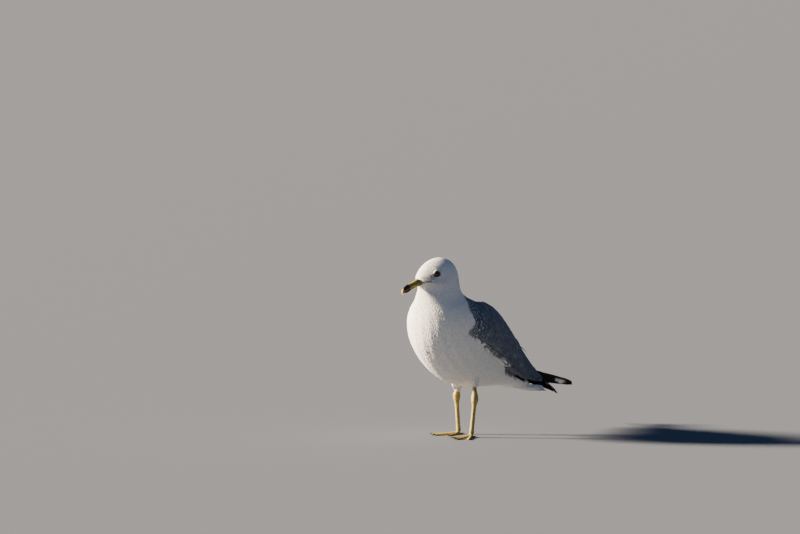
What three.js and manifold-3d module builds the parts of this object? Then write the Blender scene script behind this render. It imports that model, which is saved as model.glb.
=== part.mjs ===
// A ring-billed gull, life size, standing with its head turned a little to its right.
// Millimetres, +Z up. The bird faces -Y, its left side is +X, and the floor is Z = 0.
import * as THREE from "three";
import { mergeVertices } from "three/addons/utils/BufferGeometryUtils.js";
import Module from "manifold-3d";

const wasm = await Module();
wasm.setup();

// ---------------------------------------------------------------- driving dimensions
const GAP = 0.3; // clearance between pieces that meet
const ROOM = 500; // further than any part of the bird reaches from its origin
const X_AXIS = new THREE.Vector3(1, 0, 0);
const Z_AXIS = new THREE.Vector3(0, 0, 1);

// Body outline in side view, from the bill to the tail coverts. Each station pairs a point
// of the back line with a point of the front or belly line, both [y, z]. It also gives the
// half width, and how far up the ring that width lies, from 0 to 1.
const BODY = [
  { name: "bill base", back: [-61.4, 241.0], front: [-56.0, 232.4], half: 5.8, low: 0.5 },
  { name: "lores", back: [-58.4, 248.6], front: [-55.6, 231.2], half: 8.6, low: 0.46 },
  { name: "forehead", back: [-52.0, 257.6], front: [-54.8, 229.8], half: 12.2, low: 0.44 },
  { name: "brow", back: [-42.6, 265.8], front: [-54.0, 228.2], half: 16.2, low: 0.44 },
  { name: "crown", back: [-30.0, 272.0], front: [-53.4, 226.0], half: 20.2, low: 0.46 },
  { name: "hind crown", back: [-15.0, 273.8], front: [-53.2, 223.6], half: 24.0, low: 0.5 },
  { name: "occiput", back: [0.0, 268.0], front: [-53.6, 220.8], half: 27.4, low: 0.52 },
  { name: "hind neck", back: [8.4, 255.6], front: [-54.2, 217.0], half: 30.0, low: 0.52 },
  { name: "neck", back: [10.6, 240.0], front: [-55.2, 211.6], half: 32.4, low: 0.52 },
  { name: "nape", back: [12.4, 224.4], front: [-58.2, 204.0], half: 36.0, low: 0.52 },
  { name: "shoulder", back: [23.0, 214.6], front: [-62.8, 190.0], half: 46.0, low: 0.52 },
  { name: "breast", back: [41.0, 208.8], front: [-65.0, 168.6], half: 54.0, low: 0.52 },
  { name: "keel", back: [60.0, 202.6], front: [-60.8, 145.0], half: 56.6, low: 0.52 },
  { name: "fore belly", back: [79.0, 194.4], front: [-48.0, 122.4], half: 55.8, low: 0.52 },
  { name: "mid belly", back: [97.0, 183.0], front: [-23.0, 99.2], half: 52.6, low: 0.54 },
  { name: "belly", back: [113.0, 168.6], front: [9.0, 83.2], half: 48.0, low: 0.55 },
  { name: "vent", back: [128.0, 151.0], front: [47.0, 74.4], half: 42.0, low: 0.55 },
  { name: "rump", back: [142.0, 131.0], front: [81.0, 72.6], half: 35.6, low: 0.55 },
  { name: "under tail", back: [155.0, 111.6], front: [113.0, 72.0], half: 30.4, low: 0.55 },
  { name: "tail coverts", back: [170.0, 92.6], front: [143.0, 68.6], half: 26.6, low: 0.55 },
  { name: "coverts end", back: [184.0, 75.0], front: [171.0, 62.8], half: 24.0, low: 0.55 },
];
const BODY_SIDES = 24;
const BODY_STEPS = 2; // rings for each station
const FLAT_FROM = 15; // station where the underside starts to flatten towards the tail
const FLAT_FULL = 19;
const FLAT_POWER = 0.7; // power of the ring's sine and cosine there
const WING_BED = 0.15; // how much narrower the trunk is high up, where the wings lie
const WING_BED_FROM = 9.5; // station where that narrowing starts
const WING_BED_FULL = 12.5;
const TURN_FULL = 7; // station up to which the whole turn of the head is reached
const TURN_NONE = 11; // station from which the body is straight
const HEAD_TURN = THREE.MathUtils.degToRad(17); // to the bird's right
const TURN_PIVOT = new THREE.Vector3(0, -14.4, 0);
const HEAD_CUT = 7.4; // station of the thin cut between head and neck
const NECK_CUT = 10.4; // station of the thin cut between neck and trunk
const CUT = 0.025; // width of the cuts, in stations

// Head frame: its origin lies between the eyes, and it is pitched down
const EYE_LINE = new THREE.Vector3(0, -38.4, 252.7);
const HEAD_PITCH = THREE.MathUtils.degToRad(20);
const EYE = { forward: -1.4, side: 15.9, up: -2.2, radius: 6.2, around: 14, down: 8 };

// Bill, in the head frame: stations of the ridge, the mouth line and the lower edge
const BILL = [
  { forward: 22.0, ridge: -0.8, mouth: -7.2, keel: -11.8, half: 5.8 },
  { forward: 30.0, ridge: -1.4, mouth: -7.4, keel: -12.4, half: 4.7 },
  { forward: 37.0, ridge: -1.7, mouth: -7.6, keel: -12.9, half: 3.9 },
  { forward: 43.5, ridge: -2.0, mouth: -7.8, keel: -13.8, half: 3.4 },
  { forward: 48.5, ridge: -2.8, mouth: -8.2, keel: -13.8, half: 3.0 },
  { forward: 52.5, ridge: -4.4, mouth: -9.2, keel: -12.2, half: 2.4 },
  { forward: 55.4, ridge: -6.8, mouth: -10.6, keel: -11.6, half: 1.6 },
  { forward: 56.8, ridge: -9.6, mouth: -12.4, keel: -12.6, half: 0.9 },
];
const BILL_SIDES = 8;
const BILL_TIP_DEPTH = 0.7; // least depth of either half at its tip
const LOWER_BILL_WIDTH = 0.86; // of the upper half

// Wing: stations pair a point of the upper edge with one of the lower edge, [x, y, z],
// with the swell of the oval section between them
const WING = [
  { upper: [40, -6, 178], lower: [44, -11, 166], swell: 2 },
  { upper: [39, 5, 191], lower: [53, -2, 156], swell: 13.5 },
  { upper: [31, 26, 203], lower: [56.5, 18, 144], swell: 18.5 },
  { upper: [22.5, 48, 204], lower: [56, 42, 130.5], swell: 20 },
  { upper: [18, 70, 199], lower: [53, 68, 118], swell: 19 },
  { upper: [15.5, 92, 189.5], lower: [48, 91, 105.5], swell: 18 },
  { upper: [13.5, 113, 175.5], lower: [42.5, 114, 95], swell: 15.6 },
  { upper: [12, 134, 157.5], lower: [37, 137, 87.5], swell: 13 },
  { upper: [10, 156, 137.5], lower: [31, 161, 81.5], swell: 9.4 },
  { upper: [8, 178, 117], lower: [25, 185, 76.5], swell: 6.4 },
  { upper: [6, 200, 99], lower: [18, 208, 72.5], swell: 4.2 },
  { upper: [4.6, 219, 85.5], lower: [11.5, 225, 70.5], swell: 2.6 },
  { upper: [5, 232, 77], lower: [7.5, 234, 71.5], swell: 1.2 },
];
const WING_SIDES = 16;
const WING_STEPS = 2;
const TERTIAL_CUT = 6.5; // station of the thin cut between wing and tertials

// Longest wing feathers, outermost first. Each blade follows the folded wing's lower edge
// and ends short of the outermost tip by its own share of the length.
const PRIMARY = { thick: 1.5, rise: 1.5, overlap: 1.2, lean: 33, sides: 6, steps: 8 };
const PRIMARY_SHORTER = [0, 0.045, 0.12, 0.225, 0.34];
const PRIMARY_VANE = { root: 0.35, rootLength: 0.14, tip: 0.12, bluntness: 5, taper: 0.12 };
const PRIMARIES = {
  left: {
    sign: 1,
    width: 15,
    edge: [
      [42, 98, 94],
      [34, 140, 82],
      [26, 178, 73],
      [17, 214, 64.5],
      [7, 254, 55],
      [-8, 299, 43.5],
    ],
  },
  right: {
    sign: -1,
    width: 18.5,
    edge: [
      [-42, 98, 95],
      [-35, 140, 85],
      [-28, 178, 78],
      [-19, 214, 72],
      [-7, 254, 65.5],
      [12, 306, 57],
    ],
  },
};

// Tail: a closed fan, lightly arched, with rounded corners
const TAIL = {
  root: { y: 150, z: 70, half: 14 },
  tip: { y: 227, z: 62.5, half: 27.5 },
  dip: 0.6, // power of the distance along the tail by which it comes down
  roll: 9, // degrees, down to the bird's left
  arch: 2,
  rootThick: 3,
  tipThick: 1.4,
  corner: 6,
  late: 8, // power of the distance along the tail by which the corners round off
  steps: 5,
  columns: 6,
};

// One long shoulder feather that stands off the back
const LOOSE_FEATHER = {
  spine: [[8, 150, 141], [7, 168, 131.5], [6, 184, 123.5], [4, 200, 115]],
  width: 8,
  thick: 1,
  lean: 41, // degrees, down to the bird's left
  vane: { root: 0.4, rootLength: 0.1, tip: 0.1, bluntness: 3, taper: 0 },
};

// Legs: [x, y, z] of the toe joint, the ankle and the top inside the body
const LEGS = {
  left: {
    sign: 1,
    foot: [19.8, 35.2, 4.8],
    ankle: [24.8, 37.4, 58.4],
    top: [21, 40, 100],
    bareTo: 77,
    yaw: 5,
  },
  right: {
    sign: -1,
    foot: [-24, 63, 4.8],
    ankle: [-29.6, 65.4, 57.4],
    top: [-22, 64.6, 100],
    bareTo: 66,
    yaw: 20,
  },
};
const TARSUS = { wide: 4.4, deep: 5.4, sides: 10, steps: 10 };
const ANKLE = { wide: 4.0, deep: 4.2, reach: 6 }; // added round the ankle joint
const TOE_JOINT = { wide: 2.0, deep: 1.4, reach: 5 }; // added at the lower end
const THIGH = {
  end: { wide: 12, deep: 12.5 },
  root: { wide: 26, deep: 36 },
  flare: 1.1, // power by which it widens upward
  forward: 10, // lean towards the knee, at the root
  sides: 12,
  steps: 4,
};

// Feet, with yaw in degrees outward from the foot's own line
const TOES = [
  { name: "inner", yaw: -28, length: 33, thick: 4.0, claw: 5 },
  { name: "middle", yaw: 0, length: 43, thick: 4.4, claw: 6.5 },
  { name: "outer", yaw: 25, length: 40, thick: 4.0, claw: 5 },
];
const HIND_TOE = { name: "hind", yaw: 172, length: 8.5, thick: 3.0, claw: 3.5 };
const TOE_SIDES = 7;
const TOE_STEPS = 5;
const TOE_TAPER = 0.35;
const SOLE_FLAT = 0.45; // share of the toe's radius cut off by the floor
const TOE_DROP = { start: 1.6, over: 1 / 3 }; // below the toe joint, and share of the toe it takes
const WEB = { thick: 1.5, reach: 0.86, scallop: 0.2, segments: 6 };
const CLAW = { sides: 5, steps: 3, root: 0.62, tip: 0.25 };

// ---------------------------------------------------------------- curves and lofts
function smoothStep(edge0, edge1, value) {
  const t = THREE.MathUtils.clamp((value - edge0) / (edge1 - edge0), 0, 1);
  return t * t * (3 - 2 * t);
}

function vector(list) {
  return new THREE.Vector3(...list);
}

// Catmull-Rom value of a list of numbers at a fractional index
function along(values, index) {
  const last = values.length - 1;
  const i = Math.min(Math.floor(index), last - 1);
  const t = index - i;
  const before = values[Math.max(i - 1, 0)];
  const start = values[i];
  const end = values[i + 1];
  const after = values[Math.min(i + 2, last)];
  const slope = end - before;
  const bend = 2 * before - 5 * start + 4 * end - after;
  const twist = 3 * start - before - 3 * end + after;
  return 0.5 * (2 * start + slope * t + bend * t * t + twist * t * t * t);
}

function pointAlong(points, index) {
  return vector([0, 1, 2].map((axis) => along(points.map((p) => p[axis]), index)));
}

function enclosedVolume(positions, index) {
  const corner = (i) => new THREE.Vector3().fromArray(positions, index[i] * 3);
  let sum = 0;
  for (let i = 0; i < index.length; i += 3) {
    sum += corner(i).dot(corner(i + 1).cross(corner(i + 2))) / 6;
  }
  return sum;
}

// Closed tube through rings of equal length, with a fan on each end, facing out
function loft(rings) {
  const sides = rings[0].length;
  const positions = rings.flatMap((ring) => ring.flatMap((p) => p.toArray()));
  const index = [];
  const next = (s) => (s + 1) % sides;
  for (let r = 0; r + 1 < rings.length; r++) {
    for (let s = 0; s < sides; s++) {
      const a = r * sides + s;
      const b = r * sides + next(s);
      index.push(a, b + sides, b, a, a + sides, b + sides);
    }
  }
  for (const end of [0, rings.length - 1]) {
    const centre = rings[end].reduce((sum, p) => sum.add(p), new THREE.Vector3());
    const hub = positions.length / 3;
    positions.push(...centre.divideScalar(sides).toArray());
    for (let s = 0; s < sides; s++) {
      const a = end * sides + s;
      const b = end * sides + next(s);
      index.push(...(end === 0 ? [hub, a, b] : [hub, b, a]));
    }
  }
  if (enclosedVolume(positions, index) < 0) index.reverse();
  const geometry = new THREE.BufferGeometry();
  geometry.setAttribute("position", new THREE.Float32BufferAttribute(positions, 3));
  geometry.setIndex(index);
  return geometry;
}

// Calls makeRing for evenly spaced values between two ends and lofts the rings
function loftSteps(from, to, steps, makeRing) {
  const rings = [];
  for (let i = 0; i <= steps; i++) rings.push(makeRing(THREE.MathUtils.lerp(from, to, i / steps)));
  return loft(rings);
}

// Oval ring round a centre, on two axes given at half length
function oval(centre, across, up, sides) {
  const ring = [];
  for (let s = 0; s < sides; s++) {
    const angle = (s / sides) * Math.PI * 2;
    const p = centre.clone().addScaledVector(across, Math.cos(angle));
    ring.push(p.addScaledVector(up, Math.sin(angle)));
  }
  return ring;
}

function mirrored(geometry) {
  const copy = geometry.clone().scale(-1, 1, 1);
  copy.index.array.reverse();
  return copy;
}

// ---------------------------------------------------------------- solids
function toSolid(geometry) {
  const plain = geometry.clone();
  plain.deleteAttribute("normal");
  plain.deleteAttribute("uv");
  const merged = mergeVertices(plain, 1e-4);
  const vertProperties = new Float32Array(merged.getAttribute("position").array);
  const triVerts = new Uint32Array(merged.index.array);
  return new wasm.Manifold(new wasm.Mesh({ numProp: 3, vertProperties, triVerts }));
}

function toGeometry(solid) {
  const mesh = solid.getMesh();
  const geometry = new THREE.BufferGeometry();
  geometry.setAttribute("position", new THREE.BufferAttribute(mesh.vertProperties, 3));
  geometry.setIndex(new THREE.BufferAttribute(mesh.triVerts, 1));
  return geometry;
}

function union(geometries) {
  return geometries.map(toSolid).reduce((sum, solid) => sum.add(solid));
}

function without(solid, rooms) {
  return rooms.reduce((rest, room) => rest.subtract(room), solid);
}

// A cut can leave chips beside the piece: only the largest body is the piece
function largest(solid) {
  return solid.decompose().reduce((best, piece) => (piece.volume() > best.volume() ? piece : best));
}

function block(low, high) {
  const size = vector(high).sub(vector(low));
  const centre = vector(high).add(vector(low)).multiplyScalar(0.5);
  const box = new THREE.BoxGeometry(size.x, size.y, size.z);
  return toSolid(box.translate(centre.x, centre.y, centre.z));
}

// ---------------------------------------------------------------- head, neck and trunk
function turnWithHead(point, share = 1) {
  return point.sub(TURN_PIVOT).applyAxisAngle(Z_AXIS, -HEAD_TURN * share).add(TURN_PIVOT);
}

function headPoint(forward, side, up) {
  const p = new THREE.Vector3(side, -forward, up).applyAxisAngle(X_AXIS, HEAD_PITCH);
  return turnWithHead(p.add(EYE_LINE));
}

// Sine or cosine raised to a power below 1, which makes an oval squarer
function boxier(value, power) {
  return Math.sign(value) * Math.pow(Math.abs(value), power);
}

function bodyRing(index, grow) {
  const pick = (read) => along(BODY.map(read), index);
  const back = vector([0, pick((s) => s.back[0]), pick((s) => s.back[1])]);
  const front = vector([0, pick((s) => s.front[0]), pick((s) => s.front[1])]);
  const low = pick((s) => s.low);
  const half = pick((s) => s.half) + grow;
  const height = back.distanceTo(front);
  const up = back.clone().sub(front).normalize();
  const middle = front.clone().addScaledVector(up, height * low);
  const bed = WING_BED * smoothStep(WING_BED_FROM, WING_BED_FULL, index);
  const share = 1 - smoothStep(TURN_FULL, TURN_NONE, index);
  const power = THREE.MathUtils.lerp(1, FLAT_POWER, smoothStep(FLAT_FROM, FLAT_FULL, index));
  const ring = [];
  for (let s = 0; s < BODY_SIDES; s++) {
    const angle = (s / BODY_SIDES) * Math.PI * 2;
    const rise = boxier(Math.sin(angle), power);
    const reach = height * (rise > 0 ? 1 - low : low) + grow;
    const p = middle.clone().addScaledVector(up, rise * reach);
    p.x = boxier(Math.cos(angle), power) * half * (1 - bed * Math.max(rise, 0));
    ring.push(turnWithHead(p, share));
  }
  return ring;
}

function bodyLoft(from, to, grow = 0) {
  const steps = Math.round((to - from) * BODY_STEPS);
  return loftSteps(from, to, steps, (index) => bodyRing(index, grow));
}

// ---------------------------------------------------------------- bill and eyes
// Half of the bill: a D-shaped section whose flat side is the mouth line
function billLoft(upper) {
  const flip = upper ? 1 : -1;
  return loftSteps(0, BILL.length - 1, BILL.length - 1, (index) => {
    const pick = (read) => along(BILL.map(read), index);
    const mouth = pick((s) => s.mouth) + (flip * GAP) / 2;
    const outer = upper ? pick((s) => s.ridge) : pick((s) => s.keel);
    const depth = Math.max((outer - mouth) * flip, BILL_TIP_DEPTH) * flip;
    const half = pick((s) => s.half) * (upper ? 1 : LOWER_BILL_WIDTH);
    const ring = [];
    for (let s = 0; s <= BILL_SIDES; s++) {
      const angle = (s / BILL_SIDES) * Math.PI;
      const side = Math.cos(angle) * half;
      ring.push(headPoint(pick((b) => b.forward), side, mouth + Math.sin(angle) * depth));
    }
    return ring;
  });
}

function eyeBall(sign, grow = 0) {
  const ball = new THREE.SphereGeometry(EYE.radius + grow, EYE.around, EYE.down);
  const at = headPoint(EYE.forward, sign * EYE.side, EYE.up);
  return ball.translate(at.x, at.y, at.z);
}

// ---------------------------------------------------------------- wings, primaries and tail
function wingRing(index, grow) {
  const upper = pointAlong(WING.map((s) => s.upper), index);
  const lower = pointAlong(WING.map((s) => s.lower), index);
  const swell = along(WING.map((s) => s.swell), index) + grow;
  const centre = upper.clone().add(lower).multiplyScalar(0.5);
  const up = upper.sub(lower).multiplyScalar(0.5);
  up.setLength(up.length() + grow);
  const out = new THREE.Vector3(up.z, 0, -up.x).setLength(swell);
  return oval(centre, out, up, WING_SIDES);
}

function wingLoft(from, to, grow = 0) {
  const steps = Math.round((to - from) * WING_STEPS);
  return loftSteps(from, to, steps, (index) => wingRing(index, grow));
}

// Width of a feather's vane as a share of its full width, from root to rounded tip
function vaneWidth(vane, share) {
  const opening = THREE.MathUtils.lerp(vane.root, 1, smoothStep(0, vane.rootLength, share));
  const closing = THREE.MathUtils.lerp(vane.tip, 1, Math.sqrt(1 - Math.pow(share, vane.bluntness)));
  return opening * closing * (1 - vane.taper * share);
}

// One long feather of the folded wing. Inner ones lie higher and over the outer ones.
function primaryBlade(side, order, grow = 0) {
  const { edge, sign } = PRIMARIES[side];
  const lean = THREE.MathUtils.degToRad(PRIMARY.lean);
  const up = new THREE.Vector3(-Math.sin(lean) * sign, 0, Math.cos(lean));
  const out = new THREE.Vector3(Math.cos(lean) * sign, 0, Math.sin(lean));
  const end = (edge.length - 1) * (1 - PRIMARY_SHORTER[order]);
  const last = PRIMARY_SHORTER.length - 1;
  return loftSteps(0, 1, PRIMARY.steps, (share) => {
    const width = PRIMARIES[side].width * vaneWidth(PRIMARY_VANE, share);
    const centre = pointAlong(edge, share * end);
    centre.addScaledVector(up, width / 2 + order * PRIMARY.rise);
    centre.addScaledVector(out, (order - last * (1 - share)) * PRIMARY.overlap);
    const thin = out.clone().multiplyScalar(PRIMARY.thick / 2 + grow);
    return oval(centre, thin, up.clone().multiplyScalar(width / 2 + grow), PRIMARY.sides);
  });
}

function primaryStack(side, grow = 0) {
  return union(PRIMARY_SHORTER.map((_, order) => primaryBlade(side, order, grow)));
}

// A row of points across the tail, on its upper or its lower face
function tailRow(share, face, grow) {
  const { root, tip, columns } = TAIL;
  const half = THREE.MathUtils.lerp(root.half, tip.half, share) + grow;
  const thick = THREE.MathUtils.lerp(TAIL.rootThick, TAIL.tipThick, share) + 2 * grow;
  const slope = Math.tan(THREE.MathUtils.degToRad(TAIL.roll));
  const middle = THREE.MathUtils.lerp(root.z, tip.z, Math.pow(share, TAIL.dip));
  const row = [];
  for (let c = 0; c <= columns; c++) {
    const across = 1 - (2 * c) / columns;
    const rounding = TAIL.corner * Math.pow(share, TAIL.late) * Math.pow(across, 4);
    const y = THREE.MathUtils.lerp(root.y, tip.y, share) - rounding;
    const z = middle - TAIL.arch * share * across * across - half * across * slope;
    row.push(new THREE.Vector3(half * across, y, z + (face * thick) / 2));
  }
  return row;
}

function tailLoft(grow = 0) {
  const makeRing = (share) => [...tailRow(share, 1, grow), ...tailRow(share, -1, grow).reverse()];
  return loftSteps(0, 1, TAIL.steps, makeRing);
}

function looseFeather() {
  const { spine, width, thick, vane } = LOOSE_FEATHER;
  const lean = THREE.MathUtils.degToRad(LOOSE_FEATHER.lean);
  return loftSteps(0, 1, PRIMARY.steps, (share) => {
    const half = (width / 2) * vaneWidth(vane, share);
    const across = new THREE.Vector3(Math.cos(lean), 0, -Math.sin(lean)).multiplyScalar(half);
    const up = new THREE.Vector3(Math.sin(lean), 0, Math.cos(lean)).multiplyScalar(thick / 2);
    return oval(pointAlong(spine, share * (spine.length - 1)), across, up, PRIMARY.sides);
  });
}

// ---------------------------------------------------------------- legs and feet
// Bulge round a joint, 1 at the joint itself
function bulge(distance, reach) {
  return Math.exp(-Math.pow(distance / reach, 2));
}

function legAxis(leg, z) {
  const [low, high] = z <= leg.ankle[2] ? [leg.foot, leg.ankle] : [leg.ankle, leg.top];
  return vector(low).lerp(vector(high), (z - low[2]) / (high[2] - low[2]));
}

function shank(leg, fromZ, toZ, grow = 0) {
  return loftSteps(fromZ, toZ, TARSUS.steps, (z) => {
    const ankle = bulge(z - leg.ankle[2], ANKLE.reach);
    const joint = bulge(z - leg.foot[2], TOE_JOINT.reach);
    const wide = TARSUS.wide + ANKLE.wide * ankle + TOE_JOINT.wide * joint;
    const deep = TARSUS.deep + ANKLE.deep * ankle + TOE_JOINT.deep * joint;
    const across = new THREE.Vector3(wide / 2 + grow, 0, 0);
    const fore = new THREE.Vector3(0, deep / 2 + grow, 0);
    return oval(legAxis(leg, z), across, fore, TARSUS.sides);
  });
}

function thigh(leg) {
  return loftSteps(leg.bareTo + GAP, leg.top[2], THIGH.steps, (z) => {
    const share = (z - leg.bareTo) / (leg.top[2] - leg.bareTo);
    const swell = Math.pow(share, THIGH.flare);
    const wide = THREE.MathUtils.lerp(THIGH.end.wide, THIGH.root.wide, swell);
    const deep = THREE.MathUtils.lerp(THIGH.end.deep, THIGH.root.deep, swell);
    const across = new THREE.Vector3(wide / 2, 0, 0);
    const centre = legAxis(leg, z);
    centre.y -= THIGH.forward * swell;
    return oval(centre, across, new THREE.Vector3(0, deep / 2, 0), THIGH.sides);
  });
}

// Direction in which a toe points, and the direction across it
function toeAxes(leg, toe) {
  const yaw = THREE.MathUtils.degToRad(leg.yaw + toe.yaw) * leg.sign;
  const ahead = new THREE.Vector3(Math.sin(yaw), -Math.cos(yaw), 0);
  return { ahead, across: new THREE.Vector3(Math.cos(yaw), Math.sin(yaw), 0) };
}

function toeRadius(toe, share) {
  return (toe.thick / 2) * (1 - TOE_TAPER * share);
}

function toePoint(leg, toe, share) {
  const { ahead } = toeAxes(leg, toe);
  const p = new THREE.Vector3(leg.foot[0], leg.foot[1], 0);
  p.addScaledVector(ahead, share * toe.length);
  const resting = toeRadius(toe, share) * (1 - SOLE_FLAT);
  p.z = THREE.MathUtils.lerp(leg.foot[2] - TOE_DROP.start, resting, Math.min(share / TOE_DROP.over, 1));
  return p;
}

function toeLoft(leg, toe) {
  const { across } = toeAxes(leg, toe);
  return loftSteps(0, 1, TOE_STEPS, (share) => {
    const radius = toeRadius(toe, share);
    const up = new THREE.Vector3(0, 0, radius);
    return oval(toePoint(leg, toe, share), across.clone().multiplyScalar(radius), up, TOE_SIDES);
  });
}

// Flat web between two toes, with a hollow front edge
function webPlate(leg, toeA, toeB) {
  const root = toePoint(leg, toeA, 0);
  const tipA = toePoint(leg, toeA, WEB.reach);
  const tipB = toePoint(leg, toeB, WEB.reach);
  const hollow = tipA.clone().add(tipB).multiplyScalar(0.5).lerp(root, WEB.scallop);
  const shape = new THREE.Shape();
  shape.moveTo(root.x, root.y);
  shape.lineTo(tipA.x, tipA.y);
  shape.quadraticCurveTo(hollow.x, hollow.y, tipB.x, tipB.y);
  shape.closePath();
  const options = { depth: WEB.thick, bevelEnabled: false, curveSegments: WEB.segments };
  return new THREE.ExtrudeGeometry(shape, options);
}

function foot(leg) {
  const toes = [...TOES, HIND_TOE];
  const pieces = toes.map((toe) => toeLoft(leg, toe));
  pieces.push(webPlate(leg, TOES[0], TOES[1]), webPlate(leg, TOES[1], TOES[2]));
  const aboveFloor = block([-ROOM, -ROOM, 0], [ROOM, ROOM, ROOM]);
  const legRoom = toSolid(shank(leg, leg.foot[2] - GAP, leg.bareTo, GAP));
  return union(pieces).intersect(aboveFloor).subtract(legRoom);
}

function claw(leg, toe) {
  const { ahead, across } = toeAxes(leg, toe);
  const start = toePoint(leg, toe, 1).addScaledVector(ahead, GAP);
  const root = toeRadius(toe, 1) * CLAW.root;
  return loftSteps(0, 1, CLAW.steps, (share) => {
    const radius = THREE.MathUtils.lerp(root, CLAW.tip, share);
    const p = start.clone().addScaledVector(ahead, share * toe.claw);
    p.z = THREE.MathUtils.lerp(root + GAP, CLAW.tip + GAP, share * share);
    const up = new THREE.Vector3(0, 0, radius);
    return oval(p, across.clone().multiplyScalar(radius), up, CLAW.sides);
  });
}

// ---------------------------------------------------------------- finishes
const WHITE = { color: 0xf2efe8, roughness: 0.9 };
const GREY = { color: 0x7d8590, roughness: 0.85 };
const BLACK = { color: 0x1c1c20, roughness: 0.7 };
const YELLOW_HORN = { color: 0xb5a03a, roughness: 0.45 };
const YELLOW_SKIN = { color: 0xc7a83a, roughness: 0.6 };
const DARK_HORN = { color: 0x2a2420, roughness: 0.4 };
const EYE_DARK = { color: 0x2a1a10, roughness: 0.15 };

// ---------------------------------------------------------------- assembly
const gull = new THREE.Group();

function add(name, geometry, finish) {
  const mesh = new THREE.Mesh(geometry, new THREE.MeshStandardMaterial({ ...finish, metalness: 0 }));
  mesh.name = name;
  gull.add(mesh);
}

function addHeadAndTrunk() {
  const sockets = union([eyeBall(1, GAP), eyeBall(-1, GAP)]);
  const head = toSolid(bodyLoft(0, HEAD_CUT)).subtract(sockets);
  add("head", toGeometry(head), WHITE);
  add("neck", bodyLoft(HEAD_CUT + CUT, NECK_CUT), WHITE);
  add("trunk", bodyLoft(NECK_CUT + CUT, BODY.length - 1), WHITE);
  add("eye_left", eyeBall(1), EYE_DARK);
  add("eye_right", eyeBall(-1), EYE_DARK);
}

function addBill(bodyRoom) {
  add("bill_upper", toGeometry(toSolid(billLoft(true)).subtract(bodyRoom)), YELLOW_HORN);
  add("bill_lower", toGeometry(toSolid(billLoft(false)).subtract(bodyRoom)), YELLOW_HORN);
}

function addWingsAndTail(bodyRoom) {
  const lastStation = WING.length - 1;
  const leftSide = block([GAP / 2, -ROOM, 0], [ROOM, ROOM, ROOM]);
  const tailRoom = toSolid(tailLoft(GAP));
  const wing = without(toSolid(wingLoft(0, TERTIAL_CUT)), [bodyRoom]).intersect(leftSide);
  const tertials = toSolid(wingLoft(TERTIAL_CUT + CUT, lastStation)).intersect(leftSide);
  const restOfWing = without(tertials, [bodyRoom, tailRoom]);
  const wingRoom = wingLoft(0, lastStation, GAP);
  const wingRooms = [wingRoom, mirrored(wingRoom)].map(toSolid);
  const rooms = [bodyRoom, tailRoom, ...wingRooms];
  add("tail", toGeometry(toSolid(tailLoft()).subtract(bodyRoom)), WHITE);
  for (const [name, solid] of [["wing", wing], ["tertials", restOfWing]]) {
    const geometry = toGeometry(largest(solid));
    add(`${name}_left`, geometry, GREY);
    add(`${name}_right`, mirrored(geometry), GREY);
  }
  const leftBlades = largest(without(primaryStack("left"), rooms));
  const rightBlades = largest(without(primaryStack("right"), [...rooms, primaryStack("left", GAP)]));
  add("primaries_left", toGeometry(leftBlades), BLACK);
  add("primaries_right", toGeometry(rightBlades), BLACK);
  add("loose_feather", toGeometry(largest(without(toSolid(looseFeather()), wingRooms))), GREY);
}

function addLegs(bodyRoom) {
  for (const [side, leg] of Object.entries(LEGS)) {
    add(`thigh_${side}`, toGeometry(largest(toSolid(thigh(leg)).subtract(bodyRoom))), WHITE);
    add(`leg_${side}`, shank(leg, leg.foot[2], leg.bareTo), YELLOW_SKIN);
    add(`foot_${side}`, toGeometry(largest(foot(leg))), YELLOW_SKIN);
    for (const toe of [...TOES, HIND_TOE]) add(`claw_${side}_${toe.name}`, claw(leg, toe), DARK_HORN);
  }
}

const bodyRoom = toSolid(bodyLoft(0, BODY.length - 1, GAP));
addHeadAndTrunk();
addBill(bodyRoom);
addWingsAndTail(bodyRoom);
addLegs(bodyRoom);

// The origin is on the floor, under the middle of the whole bird
const bounds = new THREE.Box3().setFromObject(gull);
const middle = bounds.getCenter(new THREE.Vector3());
gull.position.set(-middle.x, -middle.y, 0);

export default gull;
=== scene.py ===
"""The looks of a life-size ring-billed gull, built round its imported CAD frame.

Lengths are millimetres until a mesh is made. The frame is the part's own: +Z up, the bird's body
faces -Y, its left side is at +X, and the floor is at Z = 0.
"""

import itertools
import logging
import math
from dataclasses import dataclass
from enum import Enum

import bmesh
import bpy
import numpy as np
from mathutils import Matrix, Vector
from mathutils.bvhtree import BVHTree
from mathutils.kdtree import KDTree
from numpy.linalg import norm
from numpy.typing import NDArray


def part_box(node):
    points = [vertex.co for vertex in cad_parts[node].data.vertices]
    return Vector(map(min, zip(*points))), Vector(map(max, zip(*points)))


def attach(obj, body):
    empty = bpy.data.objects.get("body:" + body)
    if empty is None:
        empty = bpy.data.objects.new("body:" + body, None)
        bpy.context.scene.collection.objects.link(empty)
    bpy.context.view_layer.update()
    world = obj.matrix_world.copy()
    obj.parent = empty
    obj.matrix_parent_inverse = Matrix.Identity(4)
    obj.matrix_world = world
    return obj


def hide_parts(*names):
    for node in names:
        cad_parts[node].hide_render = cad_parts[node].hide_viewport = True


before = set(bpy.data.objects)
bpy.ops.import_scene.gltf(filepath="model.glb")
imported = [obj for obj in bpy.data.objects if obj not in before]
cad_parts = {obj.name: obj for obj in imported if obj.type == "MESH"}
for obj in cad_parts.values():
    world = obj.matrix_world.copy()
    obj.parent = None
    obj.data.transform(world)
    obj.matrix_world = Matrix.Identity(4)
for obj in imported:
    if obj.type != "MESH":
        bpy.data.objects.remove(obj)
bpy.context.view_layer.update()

logging.basicConfig(level=logging.INFO, format="%(message)s")
log = logging.getLogger("gull")

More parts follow.
